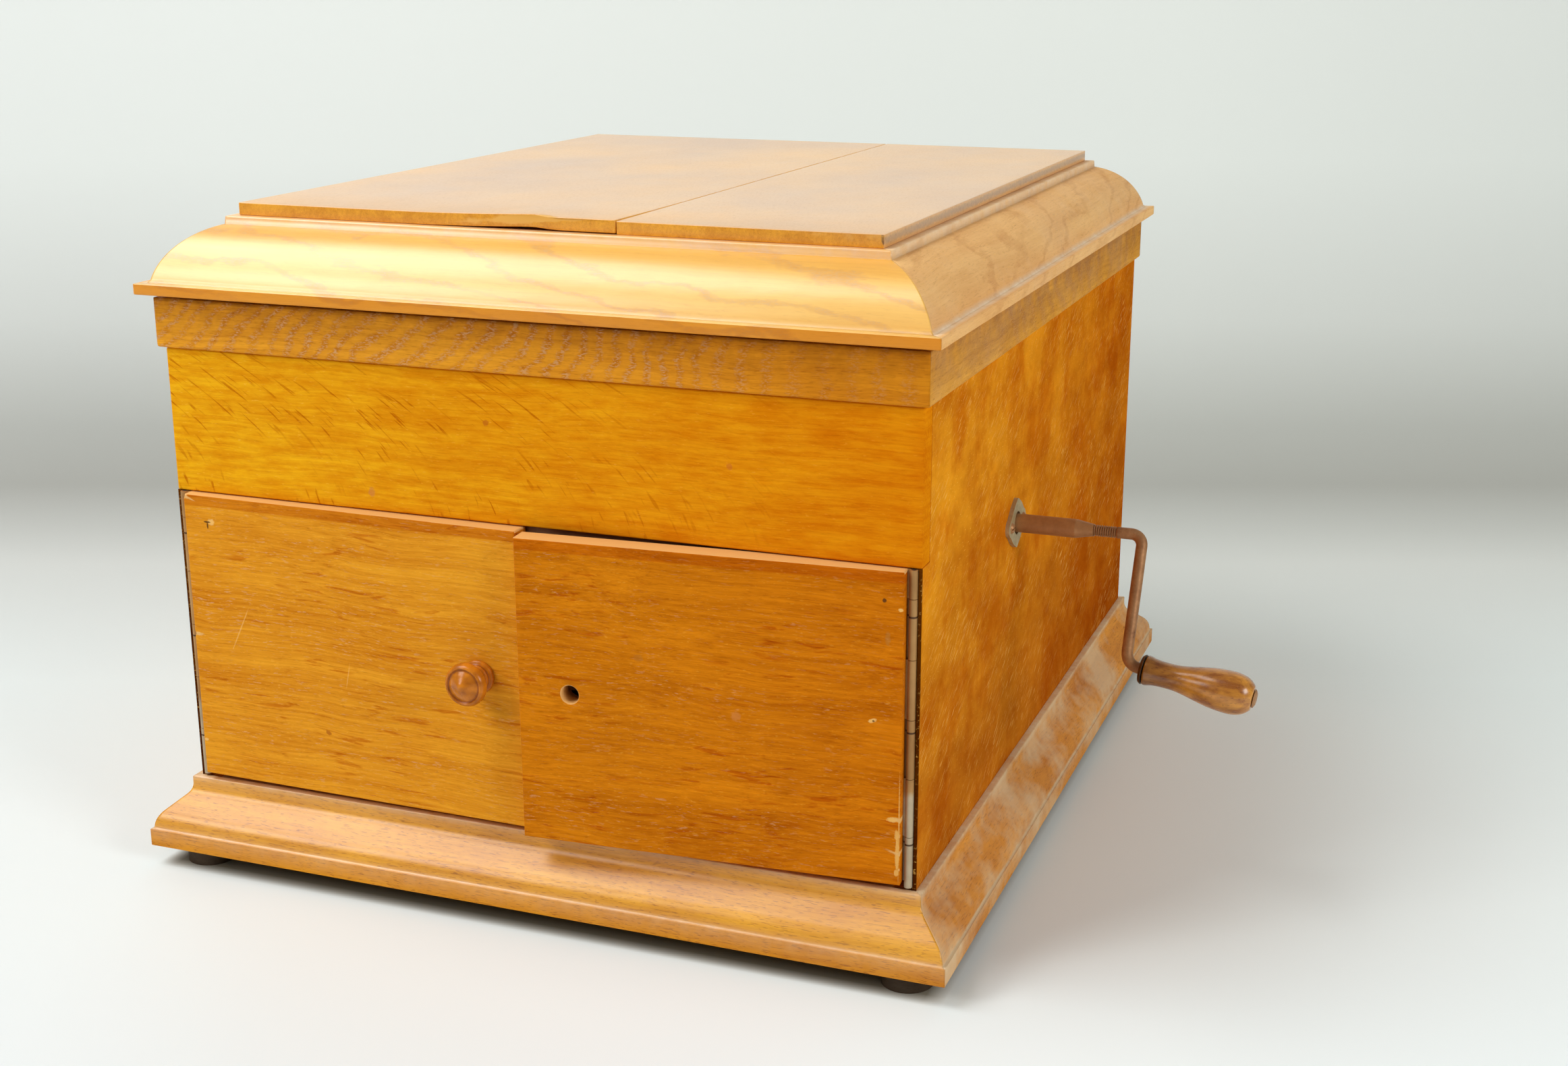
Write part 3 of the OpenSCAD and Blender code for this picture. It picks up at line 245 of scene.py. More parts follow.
def new_finish(name):
    """A material with only its surface shader: the material, the shader's sockets and object coordinates."""
    made = bpy.data.materials.new(name)
    made.use_nodes = True
    place = add("TexCoord", tree=made.node_tree).outputs["Object"]
    return made, made.node_tree.nodes["Principled BSDF"].inputs, place


def stained(seat, colour, x, z, wide, high, tilt, tint, share):
    """A small mark on a front face: an ellipse round (x, z) in millimetres with a ragged edge."""
    local = mapped(seat, (0.0, -tilt, 0.0), (x * 0.001, 0.0, z * 0.001), (wide * 0.001, 1000.0, high * 0.001),
                   "TEXTURE")
    gap = add("VectorMath", {0: local}, operation="LENGTH").outputs["Value"]
    gap = scaled(speckle(seat, (800.0, 800.0, 800.0)), 0.9, gap)
    return blended(times(between(1.7, 1.25, gap), share), colour, tint)


def oak(name, turn, pale, deep, shift=0.0, dust=0.0, quirk_shade=0.6, varnish=0.0, shine=0.05, gloss=0.24,
        grain_deep=0.12, arches=None, tones=(), marks=(), mottle=None, nicks=0.0, edge=None, bleached=None,
        raw=(0.76, 0.42, 0.14), dusty=(0.62, 0.5, 0.36), **figured):
    """Varnished oak. turn is the angle about Z from the grain to X; shift moves the pattern to another board.
    Each of tones is (axis, from, to, tint): the board takes on the tint from one place to the other. What is
    not named here is a value of the oak figure."""
    made, surface, seat = new_finish(name)
    place = mapped(seat, (0.0, 0.0, turn), (shift, shift * 0.7, shift * 0.3))
    figured = {key.capitalize(): value for key, value in figured.items()}
    wood = add("Group", {"Vector": place, "Pale": pale, "Deep": deep, **figured}, node_tree=figure).outputs
    colour = wood["Color"]
    for axis, start, end, tint in tones:
        colour = tinted(between(start, end, part(seat, axis)), colour, tint)
    if arches:
        shown, polish, settings = arches
        feathers = add(
            "Group", {"Vector": mapped(seat, (0.0, 0.0, turn)), **settings}, node_tree=feather).outputs
        colour = tinted(times(feathers["Arch"], shown), colour, (0.64, 0.43, 0.24))
        colour = blended(times(feathers["Pores"], polish), colour, (0.7, 0.42, 0.2))
    for mark in marks:
        colour = stained(seat, colour, *mark)
    if mottle:
        scale, tint = mottle
        colour = tinted(between(0.42, 0.62, speckle(seat, scale, 4.0, 0.68)), colour, tint)
    if nicks:
        dashes = between(0.6, 0.7, speckle(mapped(seat, (60.0, 0.0, 0.0)), (900.0, 1100.0, 110.0), 1.0))
        dashes = times(dashes, between(0.35, 0.6, speckle(place, (28.0, 28.0, 40.0))))
        colour = blended(times(dashes, nicks), colour, (0.94, 0.52, 0.12))
    # painted shade: faces marked edge are tinted darker, and keep only a fifth of the varnish
    if edge:
        square = layer(seat, "edge")
        colour = tinted(square, colour, edge)
    if bleached:
        faded = blended(between(0.35, 0.65, speckle(seat, (6.0, 5.0, 6.0), 4.0, 0.6)), *bleached)
        grains = between(0.52, 0.7, speckle(seat, (1100.0, 260.0, 500.0), 3.0, 0.7))
        faded = tinted(times(grains, 0.3), faded, (0.6, 0.42, 0.3))
        faded = tinted(between(-0.16, -0.21, part(seat, "Y")), faded, (1.0, 0.9, 0.7))
        colour = blended(layer(seat, "crown"), colour, faded)
    used = add("Group", {
        "Vector": place, "Color": colour, "Roughness": wood["Roughness"], "Raw": layer(seat, "raw"),
        "Quirk": layer(seat, "quirk"), "Heap": layer(seat, "heap"), "Dust": dust, "Quirk shade": quirk_shade,
        "Raw colour": raw, "Dust colour": dusty}, node_tree=wear_dust_and_shade).outputs
    feed(surface, {
        "Base Color": used["Color"], "Roughness": used["Roughness"], "Specular IOR Level": shine,
        "Normal": dented(wood["Height"], grain_deep, 0.0005), "Coat Roughness": gloss, "Coat IOR": 1.75,
        "Coat Weight": scaled(square, -0.8 * varnish, varnish) if edge else varnish})
    return made


def dress(finish, *names):
    """Gives CAD nodes their finish."""
    for name in names:
        nodes[name].data.materials.clear()
        nodes[name].data.materials.append(finish)


def placed(name, data):
    """A new object in the scene."""
    made = bpy.data.objects.new(name, data)
    bpy.context.scene.collection.objects.link(made)
    return made


def meshed(name, places, faces, finish, marks):
    """A smooth mesh object from points in millimetres, with its finish and its layers of numbers."""
    mesh = bpy.data.meshes.new(name)
    mesh.from_pydata((np.asarray(places, float).reshape(-1, 3) * 0.001).tolist(), [], faces)
    mesh.validate()
    mesh.polygons.foreach_set("use_smooth", np.ones(len(mesh.polygons), bool))
    for key, values in marks.items():
        numbers = np.broadcast_to(values, places.shape[:-1]).astype(np.float32).ravel()
        mesh.attributes.new(key, "FLOAT", "POINT").data.foreach_set("value", numbers)
    mesh.materials.append(finish)
    return placed(name, mesh)


def put(name, places, faces, finish, body, slot, stands_for, **marks):
    """Makes a piece and sets it on its body in place of the CAD nodes that it stands for."""
    made = meshed(name, places, faces, finish, marks)
    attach(made, body)
    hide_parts(*stands_for)
    return made


def quads(rows, columns, round_rows=False, round_columns=False):
    """The four-cornered faces of a grid of rows by columns of points, wrapped round where asked."""
    i = np.arange(rows if round_rows else rows - 1)[:, None]
    j = np.arange(columns if round_columns else columns - 1)[None, :]
    down, right = (i + 1) % rows, (j + 1) % columns
    corners = [i * columns + j, down * columns + j, down * columns + right, i * columns + right]
    return np.stack(np.broadcast_arrays(*corners), -1).reshape(-1, 4).tolist()


def capped(places, flip=False):
    """Faces of a rod of rows of closed sections, with a flat face on each end."""
    rows, columns = places.shape[:2]
    first = list(range(columns))
    last = [(rows - 1) * columns + k for k in first]
    faces = quads(rows, columns, round_columns=True) + [first, last[::-1]]
    return [face[::-1] for face in faces] if flip else faces


def unit(ways):
    """The same directions with length 1."""
    return ways / np.linalg.norm(ways, axis=-1, keepdims=True)


def spun(a, b, angle):
    """Two coordinates turned by an angle."""
    return a * math.cos(angle) - b * math.sin(angle), a * math.sin(angle) + b * math.cos(angle)


def circle(u, v, count):
    """Points round circles of radius 1 that lie in the planes of u and v."""
    angle = np.linspace(0, 2 * math.pi, count, endpoint=False)[:, None]
    return np.cos(angle) * u[..., None, :] + np.sin(angle) * v[..., None, :]


def eased(*corners):
    """A closed section from corners (x, y, radius), each eased by a curve of two weighted midpoints."""
    points = []
    count = len(corners)
    for k, (x, y, radius) in enumerate(corners):
        here = np.array([x, y], float)
        if radius <= 0:
            points.append(here[None])
            continue
        start, end = (
            here + radius * unit(np.array(corners[n][:2], float) - here) for n in (k - 1, (k + 1) % count))
        t = np.linspace(0, 1, 6)[:, None]
        points.append((1 - t) ** 2 * start + 2 * t * (1 - t) * here + t ** 2 * end)
    return np.vstack(points)


def ripple(a, b, seed, fine=1.0):
    """Small smooth unevenness between -1 and 1: a sum of sines of four lengths in millimetres."""
    draw = np.random.default_rng(seed)
    total = 0.0
    for length in (310.0, 140.0, 61.0, 27.0):
        ka, kb = draw.normal(size=2) * 2 * math.pi / (length / fine)
        total = total + np.sin(ka * a + kb * b + draw.uniform(0, 6.28)) * (length / 310.0) ** 0.5
    return total / 2.2


# half of the case's width and depth, to its faces
HALF_W, HALF_D = 202.5, 241.0


def mitred(section, turn, stations, seed):
    """One side of a mitred frame: a point of the section that lies `out` from the case's face runs
    from one mitre to the other, so along the side it spans half + out each way."""
    along, face = (HALF_W, HALF_D) if turn % 180 == 0 else (HALF_D, HALF_W)
    t = np.linspace(-1, 1, stations)
    t = np.sign(t) * (1 - (1 - np.abs(t)) ** 1.25)
    out, up = section[:, 0][None], section[:, 1][None]
    run = t[:, None] * (along + out)
    away = unit(section - section.mean(0))
    lift = 0.12 * ripple(run, up * 3 + out, seed) * (1 - np.abs(t[:, None]) ** 8)
    depth = face + out + lift * away[None, :, 0]
    height = np.broadcast_to(up, run.shape) + lift * away[None, :, 1]
    return np.stack([*spun(run, -depth, math.radians(turn)), height], -1)


def surround(piece, node, section, front, side, body, slot, seed, stations=141, **marks):
    """The four boards of a mitred frame. Each of marks is a row of numbers along the section, or a pair of
    rows: for front and back, and for the sides."""
    for number, (turn, word) in enumerate([(0, "front"), (90, "right"), (180, "back"), (270, "left")]):
        run = mitred(section, turn, stations, seed + number)
        crosswise = number % 2
        rows = {key: np.atleast_2d(value)[-crosswise] for key, value in marks.items()}
        put(f"{piece}_{word}", run, capped(run), side if crosswise else front, body, slot, [f"{node}_{word}"],
            **rows)


def quirks(section, *spots, reach=1.6):
    """1 at the given spots of a section and 0 further than reach from them, in millimetres."""
    gap = np.min([np.linalg.norm(section - np.array(spot), axis=1) for spot in spots], axis=0)
    return np.clip(1 - gap / reach, 0, 1)


def rounded(start, end, arris, stations):
    """Places along a board whose ends are rounded, and how far its faces are drawn in at each."""
    ease = np.linspace(0, math.pi / 2, 5)
    near, ends = arris * (1 - np.cos(ease)), arris * (1 - np.sin(ease))
    level = np.linspace(start + arris, end - arris, stations)[1:-1]
    return (np.concatenate([start + near, level, (end - near)[::-1]]),
            np.concatenate([ends, np.zeros(stations - 2), ends[::-1]]))


def plank(low, high, arris, stations, uneven, seed, order=(0, 1, 2)):
    """A board with eased arrises: a rounded rectangle carried along its length, drawn in at both ends.
    order names the axes, with the one along the board first."""
    order = list(order)
    lo, hi = np.array(low, float)[order], np.array(high, float)[order]
    (a0, b0), (a1, b1) = lo[1:], hi[1:]
    corner = np.linspace(0, math.pi / 2, 5)
    ring = []
    for k, (ca, cb) in enumerate([(a1, b1), (a0, b1), (a0, b0), (a1, b0)]):
        ca, cb = ca + (-arris if ca == a1 else arris), cb + (-arris if cb == b1 else arris)
        angle = corner + k * math.pi / 2
        ring.append(np.stack([ca + arris * np.cos(angle), cb + arris * np.sin(angle)], -1))
    ring = np.vstack(ring)
    sides = []
    for here, after in zip(ring, np.roll(ring, -1, axis=0)):
        count = max(1, int(np.linalg.norm(after - here) / 7))
        t = np.arange(count)[:, None] / count
        sides.append(here * (1 - t) + after * t)
    ring = np.vstack(sides)
    s, inset = rounded(lo[0], hi[0], arris, stations)
    middle, half = (lo[1:] + hi[1:]) / 2, (hi[1:] - lo[1:]) / 2
    section = middle + (ring[None] - middle) * ((half[None] - inset[:, None]) / half[None])[:, None, :]
    away = unit(ring - middle)
    lift = -uneven * (0.5 + 0.5 * ripple(s[:, None], (ring[:, 0] + 2 * ring[:, 1])[None], seed))
    places = np.empty((len(s), len(ring), 3))
    places[..., order[0]] = s[:, None]
    places[..., order[1:]] = section + lift[..., None] * away[None]
    return places


def chips(places, spots, inward):
    """Takes small bites out of a surface: near each spot (x, y, z, radius, depth) points move along inward,
    and the second result says how raw the wood is there."""
    raw = np.zeros(places.shape[:-1])
    moved = places.copy()
    for x, y, z, radius, depth in spots:
        gap = np.linalg.norm(places - np.array([x, y, z]), axis=-1) / radius
        share = np.clip(1.4 * (1 - gap), 0, 1)
        moved = moved + share[..., None] * depth * np.array(inward, float)
        raw = np.maximum(raw, share)
    return moved, raw


# painted shade: the fascia's tone along X makes it darker and redder towards the right, where the light falls
# off.
fascia_oak = oak(
    "fascia oak", 0, (0.99, 0.56, 0.014), (0.68, 0.225, 0.004), rays=1.0, bands=0.16, lines=0.5, clouds=0.5,
    pores=0.15, specks=0.32, shine=0.0, tones=[("X", -0.19, 0.2, (0.89, 0.61, 0.42))],
    mottle=((60.0, 9.0, 260.0), (0.92, 0.79, 0.6)),
    marks=[(-19.0, 247.4, 1.5, 1.5, 0, (0.55, 0.15, 0.01), 0.8),
           (-85.3, 206.5, 1.8, 2.2, 0, (0.62, 0.22, 0.06), 0.6),
           (108.3, 236.8, 1.4, 1.4, 0, (0.62, 0.17, 0.02), 0.7)])
# The sides' tones paint light and shade: a painted shadow darkens them towards the back, and painted shade
# towards the bottom. Their front edges are nearly black.
side_oak = oak(
    "side oak", 90, (0.89, 0.35, 0.016), (0.44, 0.11, 0.004), shift=0.4, bands=0.08, lines=0.05, clouds=0.75,
    pores=0.1, specks=0.45, shine=0.0,
    tones=[("Y", -0.18, 0.2, (0.8, 0.62, 0.5)), ("Z", 0.2, 0.06, (0.72, 0.6, 0.8)),
           ("Y", -0.2395, -0.2407, (0.14, 0.1, 0.08))], mottle=((26.0, 24.0, 24.0), (0.82, 0.62, 0.45)),
    nicks=0.5)
inner_oak = oak(
    "unvarnished inner oak", 0, (0.4, 0.19, 0.07), (0.17, 0.07, 0.025), shift=1.1, pores=0.6, dust=0.25)
dress(side_oak, "side_left", "side_right")
dress(inner_oak, "base_board", "back_board", "bottom_rail", "deck_cleats", "horn_mouth_board")

# The fascia laps the sides' front edges. It is one quarter-sawn board.
lo, hi = (np.array(corner) * 1000 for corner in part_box("front_fascia"))
board = plank(lo, hi, 0.9, 110, 0.1, 3)
put("fascia_board", board, capped(board, True), fascia_oak, "case", "oak", ["front_fascia"])

# ------------------------ plinth
# Four mitred mouldings are glued round the foot of the case: a square slab, an ovolo
# and a cove. Dust lies in the step and under the doors.
ovolo = np.radians(np.linspace(4, 50, 12))
cove = np.radians(np.linspace(230, 183, 12))
section = np.vstack([
    eased((0, 0, 0), (21.2, 0, 0.4), (21.2, 9.6, 0.35)),
    [[20.3, 9.62], [19.75, 9.65]],
    np.stack([7.0 + 12.6 * np.cos(ovolo), 9.6 + 12.6 * np.sin(ovolo)], -1),
    np.stack([11.9 + 8.1 * np.cos(cove), 32.51 + 8.1 * np.sin(cove)], -1),
    [[3.8, 32.8], [3.8, 35.9], [3.6, 36.3], [3.2, 36.5], [0.2, 36.5], [0, 36.5]],
])
out, up = section.T
plinth_heap = quirks(section, (20.2, 9.6), (3.3, 36.5), (0.2, 36.5), reach=1.6)
# The slab's front face is tinted darker as painted shade, with less varnish.
plinth_front = oak(
    "plinth oak, front", 0, (0.92, 0.45, 0.02), (0.47, 0.145, 0.004), shift=0.2, bands=0.4, lines=0.35,
    clouds=0.5, pores=0.75, dust=0.04, quirk_shade=0.0, varnish=0.75, grain_deep=0.2, dusty=(0.86, 0.62, 0.4),
    gloss=0.33, shine=0.0, edge=(0.88, 0.74, 0.5))
plinth_side = oak(
    "plinth oak, side", 90, (0.84, 0.33, 0.022), (0.46, 0.125, 0.005), shift=0.9, bands=0.3, lines=0.3,
    clouds=0.9, pores=0.7, dust=0.7, quirk_shade=0.0, grain_deep=0.3, dusty=(0.72, 0.54, 0.33), shine=0.0)
surround("plinth_moulding", "plinth", section, plinth_front, plinth_side, "case", "oak", 11,
         quirk=quirks(section, (20.3, 9.6), (3.7, 35.0), reach=1.5), edge=(out > 20.9) & (up < 9.5),
         heap=[0.7 * plinth_heap, 0.95 * plinth_heap])

# The feet are plain turned pads, coloured nearly black as painted shade, so that they read as the shadow under
# the plinth.
feet_darkened_as_shade = oak("foot pads darkened as shade", 0, (0.06, 0.04, 0.026), (0.03, 0.019, 0.012), pores=0.4, dust=0.05)
dress(feet_darkened_as_shade, "feet")

# ------------------------ lid
# The lid has a plain-sawn band, a thin flange, a convex cushion moulding with a small
# step, and a top in two boards that has shrunk apart at its joint.
section = eased(
    (-12, 0, 0.3), (2.8, 0, 1.5), (2.8, 25.7, 0.5), (-1.5, 25.7, 0.2), (-1.5, 27.5, 0), (-12, 27.5, 0))
LID_Z = 272.6
section = section + [0, LID_Z]
# The band's tones paint light and shade: its front grows darker and redder towards the right, where the light
# falls off, and a painted shadow line runs along its top under the flange, where the quirk is tinted darker
# too, on the front and the sides.
band_front = oak(
    "band oak, front", 0, (0.96, 0.43, 0.028), (0.52, 0.165, 0.006), shift=2.3, bands=0.35, lines=0.5,
    clouds=0.3, pores=0.35, grain_deep=0.3,
    tones=[("X", -0.05, 0.15, (0.9, 0.78, 0.5)), ("Z", 0.2962, 0.2984, (0.5, 0.42, 0.34))], quirk_shade=0.7,
    arches=(0.6, 0.62, {"Middle": 0.285, "Wander": 1.4, "Fade": 0.06}))
band_side = oak(
    "band oak, side", 90, (0.86, 0.41, 0.052), (0.5, 0.19, 0.02), shift=3.1, bands=0.4, lines=0.5, clouds=0.4,
    pores=0.4, dust=0.12, grain_deep=0.3, shine=0.0, quirk_shade=0.9, nicks=0.35,
    arches=(0.3, 0.3, {"Middle": 0.285, "Pitch": 40.0, "Turn": 2.0}))
surround("band_board", "lid_band", section, band_front, band_side, "lid", "oak_brown", 21,
         quirk=quirks(section, (2.8, 298.3), reach=1.5))

cushion = np.radians(np.linspace(14.0, 76.6, 40))
cushion = np.stack([-32.8 + 37.5 * np.cos(cushion), -3.3 + 37.5 * np.sin(cushion)], -1)
section = np.vstack([
    eased((-24, 0, 0), (9.4, 0, 0.8), (9.4, 5.7, 0.7), (5.0, 5.75, 0.6)),
    [[4.2, 6.0]], cushion[1:],
    [[-24.3, 33.3]],
    eased((-24.6, 37.3, 0.9), (-42, 37.3, 0), (-42, 18, 0), (-24, 18, 0)),
])
section = section + [0, LID_Z + 27.51]
out, up = section.T
step_dust = 0.6 * np.clip((up - 333.2) / 0.6, 0, 1) * (out < -20)
fillet_dust = 0.9 * quirks(section, (4.6, 305.9), (5.6, 305.85), reach=3.2)
# The cushion's tones paint shade: towards its right end and over the upper part of its curve it is tinted
# deeper, where the highlight falls off. The flange's front face is tinted darker as painted shade, with less
# varnish, and the quirks of its fillet and step are tinted darker as painted shade, with dust in them.
moulding_front = oak(
    "moulding oak, front", 0, (0.97, 0.61, 0.135), (0.77, 0.38, 0.052), shift=4.2, bands=0.25, lines=0.3,
    clouds=0.35, pores=0.12, dust=0.03, quirk_shade=0.3, varnish=1.0, grain_deep=0.05, dusty=(0.93, 0.61, 0.36),
    gloss=0.32, edge=(0.8, 0.5, 0.16),
    tones=[("X", 0.12, 0.24, (1.0, 0.92, 0.85)), ("Z", 0.324, 0.332, (0.97, 0.82, 0.4))],
    arches=(0.35, 0.5, {"Pitch": 11.0, "Lean": -6.5, "Turn": -4.0, "Middle": 0.318, "Thin": 1.0, "Fade": 0.2}))
moulding_side = oak(
    "moulding oak, side", 90, (0.97, 0.58, 0.22), (0.72, 0.33, 0.09), shift=5.7, bands=0.35, lines=0.3,
    clouds=0.5, pores=0.25, specks=0.2, dust=0.14, quirk_shade=0.4, varnish=0.15, shine=0.0, grain_deep=0.06,
    dusty=(0.92, 0.72, 0.5),
    arches=(0.3, 0.0, {"Pitch": 14.0, "Lean": -3.0, "Turn": 6.0, "Middle": 0.315, "Thin": 0.95, "Fade": 0.3}))
surround("cushion_moulding", "lid_moulding", section, moulding_front, moulding_side, "lid", "oak", 31,
         stations=181, quirk=quirks(section, (4.4, 306.1), (-24.3, 333.5), reach=1.8),
         edge=(out > 8.6) & (up < 305.5), heap=[step_dust, step_dust + fillet_dust])

# The two top boards: the left one has lifted along its front edge, and a splinter is
# gone where the two meet the step.
top_oak = oak(
    "top board oak", 90, (0.9, 0.44, 0.04), (0.55, 0.2, 0.012), shift=6.4, bands=0.5, lines=0.5, pores=0.3,
    varnish=0.4, grain_deep=0.04, raw=(0.8, 0.42, 0.08),
    marks=[(1.0, 344.4, 4.0, 0.5, 6, (0.1, 0.035, 0.01), 0.9),
           (8.0, 343.2, 6.0, 0.5, 4, (0.9, 0.55, 0.18), 0.8),
           (172.2, 341.6, 0.8, 2.4, 8, (0.1, 0.035, 0.01), 0.9)],
    bleached=((0.92, 0.57, 0.27), (0.74, 0.5, 0.33)))
for word, x0, x1 in [("left", -172.9, 38.7), ("right", 39.3, 172.9)]:
    board = plank((x0, -211.4, 337.45), (x1, 211.4, 343.8), 0.4, 90, 0.05, 41, (1, 2, 0))
    crown = np.clip((board[..., 2] - 343.4) / 0.25, 0, 1)
    crown = np.maximum(crown, 0.55 * (np.abs(board[..., 0]) > 172.5))
    bites = [(172.9, -211.4, 341.5, 2.2, 0.9)]
    if word == "left":
        # the front edge has lifted from x = -72 to the splinter at x = 0
        lift = np.clip((board[..., 0] + 80) / 72, 0, 1)
        fall = np.clip((4 - board[..., 0]) / 3, 0, 1)
        front = np.clip((-board[..., 1] - 110) / 101, 0, 1) ** 2
        board[..., 2] += 1.5 * lift ** 2 * (0.35 + 0.65 * fall) * front
        bites = [(3, -211.4, 344.8, 2.6, 0.7), (8, -211.4, 344.2, 1.8, 0.5)]
    board, raw = chips(board, bites, (0, 1, -0.5))
    seam = (np.abs(board[..., 0] - 39) < 0.55) & (board[..., 2] > 343.2)
    seam &= ripple(board[..., 1] * 6, 0.0, 44) > -0.35
    put("top_board_" + word, board, capped(board, True), top_oak, "lid", "oak_top", ["lid_top_" + word],
        raw=np.maximum(raw, 0.7 * seam), crown=crown)

# ------------------------ doors
# Two straight-grained doors cover the horn's mouth. Both stand a little ajar. Their
# arrises are chipped to raw wood in places, and the right one has lost its knob.
PALE_WOOD, BARE_WOOD, INK = (0.88, 0.52, 0.16), (0.8, 0.43, 0.11), (0.1, 0.035, 0.01)
left_oak = oak(
    "door oak, left", 0, (0.91, 0.41, 0.026), (0.56, 0.165, 0.004), shift=7.7, bands=0.42, lines=0.62,
    clouds=0.3, pores=0.25, specks=0.2, filled=0.5, streaks=0.9,
    tones=[("Z", 0.1905, 0.1912, (0.84, 0.66, 0.45))], shine=0.02, grain_deep=0.2,
    marks=[(-179.6, 182.8, 2.0, 1.5, 0, PALE_WOOD, 0.8), (-182.0, 182.6, 2.0, 0.5, 0, INK, 0.9),
           (-181.8, 180.6, 0.5, 1.6, 0, INK, 0.9), (-166.3, 125.8, 0.35, 12.3, -26, PALE_WOOD, 0.45),
           (-101.7, 108.6, 0.3, 6.2, -12, PALE_WOOD, 0.35),
           (-115.9, 75.1, 1.6, 1.1, -30, (0.45, 0.12, 0.01), 0.8), (-193.6, 120.1, 1.6, 0.9, 0, PALE_WOOD, 0.9),
           (-194.0, 60.0, 1.2, 0.8, 0, PALE_WOOD, 0.8)])
# painted shade: the right door's colour is darker and redder than the left's, and its tone along X darkens it
# further towards the right, where the light falls off.
right_oak = oak(
    "door oak, right", 0, (0.79, 0.262, 0.006), (0.42, 0.105, 0.001), shift=8.3, bands=0.5, lines=0.62,
    clouds=0.35, pores=0.25, specks=0.15, filled=0.35, streaks=0.9,
    tones=[("Z", 0.1905, 0.1912, (0.88, 0.7, 0.5)), ("X", 0.06, 0.2, (0.96, 0.86, 0.7))], shine=0.02,
    grain_deep=0.2,
    marks=[(186.6, 182.3, 0.9, 0.9, 0, INK, 0.9), (181.6, 122.9, 1.9, 0.9, 20, PALE_WOOD, 0.8),
           (182.2, 122.8, 0.6, 0.5, 0, INK, 0.8), (115.0, 117.5, 2.2, 2.2, 0, (0.6, 0.22, 0.06), 0.5),
           (188.5, 164.0, 1.2, 3.0, 0, (0.45, 0.18, 0.03), 0.5),
           (66.1, 141.8, 2.2, 1.6, 0, (0.45, 0.16, 0.02), 0.5),
           (145.0, 115.6, 11.0, 1.3, 12, (0.52, 0.14, 0.004), 0.5), (192.3, 74.2, 2.6, 1.2, 8, BARE_WOOD, 1.0),
           (194.2, 66.5, 1.0, 2.4, 0, BARE_WOOD, 0.8), (194.5, 56.5, 0.9, 8.0, 0, BARE_WOOD, 0.85),
           (194.2, 47.0, 1.0, 1.6, 0, BARE_WOOD, 0.8), (195.2, 70.0, 0.35, 24.0, 0, BARE_WOOD, 0.6),
           (194.4, 178.3, 1.0, 0.8, 0, PALE_WOOD, 0.8)])
DOOR_Z0, DOOR_Z1 = 40.51, 196.51
DOOR_FRONT, DOOR_REAR = -246.3, -234.3
KNOB_Z = DOOR_Z0 + 78.5
PIN_X, PIN_Y = 198.6, -241.0


def swung(places, side, angle):
    """Turns a door's points about its hinge pin."""
    x, y = spun(places[..., 0] - side * PIN_X, places[..., 1] - PIN_Y, math.radians(side * angle))
    return np.stack([x + side * PIN_X, y + PIN_Y, places[..., 2]], -1)


def door(x0, x1, hole_x, spots, seed, arris=0.8):
    """A door as one closed ring-shaped surface. One way runs round the outline, the other goes from the
    hole's wall over the front to the outer edge, round it and back over the rear face. Near each of
    spots (x, z, radius, depth) its arris is bitten off."""
    edge = []
    corners = np.array([(x0, DOOR_Z0), (x1, DOOR_Z0), (x1, DOOR_Z1), (x0, DOOR_Z1)])
    for here, after in zip(corners, np.roll(corners, -1, axis=0)):
        count = int(np.abs(after - here).max() / 1.3)
        t = np.arange(count)[:, None] / count
        edge.append(here * (1 - t) + after * t)
    edge = np.vstack(edge)
    centre = np.array([hole_x, KNOB_Z])
    angle = np.arctan2(edge[:, 1] - KNOB_Z, edge[:, 0] - hole_x)
    rim = centre + 4.75 * np.stack([np.cos(angle), np.sin(angle)], -1)
    middle = np.array([(x0 + x1) / 2, (DOOR_Z0 + DOOR_Z1) / 2])
    half = np.array([(x1 - x0) / 2, (DOOR_Z1 - DOOR_Z0) / 2])

    def row(spot, y):
        return np.column_stack([spot[:, 0], np.full(len(spot), y), spot[:, 1]])

    def drawn_in(by):
        return middle + (edge - middle) * (half - by) / half

    rows = [row(rim, DOOR_REAR), row(rim, DOOR_FRONT + 0.5)]
    start = centre + (rim - centre) * 1.12
    for s in np.linspace(0.0, 1, 22):
        rows.append(row(start * (1 - s) + drawn_in(arris) * s, DOOR_FRONT))
    ease = np.linspace(0, math.pi / 2, 5)
    for face, turns, sign in [(DOOR_FRONT, ease[1:], 1), (DOOR_REAR, ease[::-1], -1)]:
        for a in turns:
            rows.append(row(drawn_in(arris * (1 - math.sin(a))), face + sign * arris * (1 - math.cos(a))))
    places = np.stack(rows)
    front = places[..., 1] < DOOR_FRONT + 0.01
    places[..., 1] += np.where(front, 0.1 * (0.5 + 0.5 * ripple(places[..., 0], places[..., 2], seed)), 0)
    inward = np.array([middle[0], (DOOR_FRONT + DOOR_REAR) / 2, middle[1]])
    raw = np.zeros(places.shape[:2])
    for x, z, radius, depth in spots:
        gap = np.linalg.norm((places - np.array([x, DOOR_FRONT, z])) * [1, 0.8, 1], axis=-1) / radius
        share = np.clip(1.5 * (1 - gap), 0, 1)
        places = places + share[..., None] * depth * np.sign(inward - places) * np.array([0.8, 1.0, 0.5])
        raw = np.maximum(raw, share)
    # the top edge and the hole's wall have no varnish
    bare = np.clip((places[..., 2] - DOOR_Z1 + 0.35) / 0.3, 0, 1) * (places[..., 1] > DOOR_FRONT + 0.45)
    raw[:2] = 0.6
    return places, np.maximum(raw, bare)


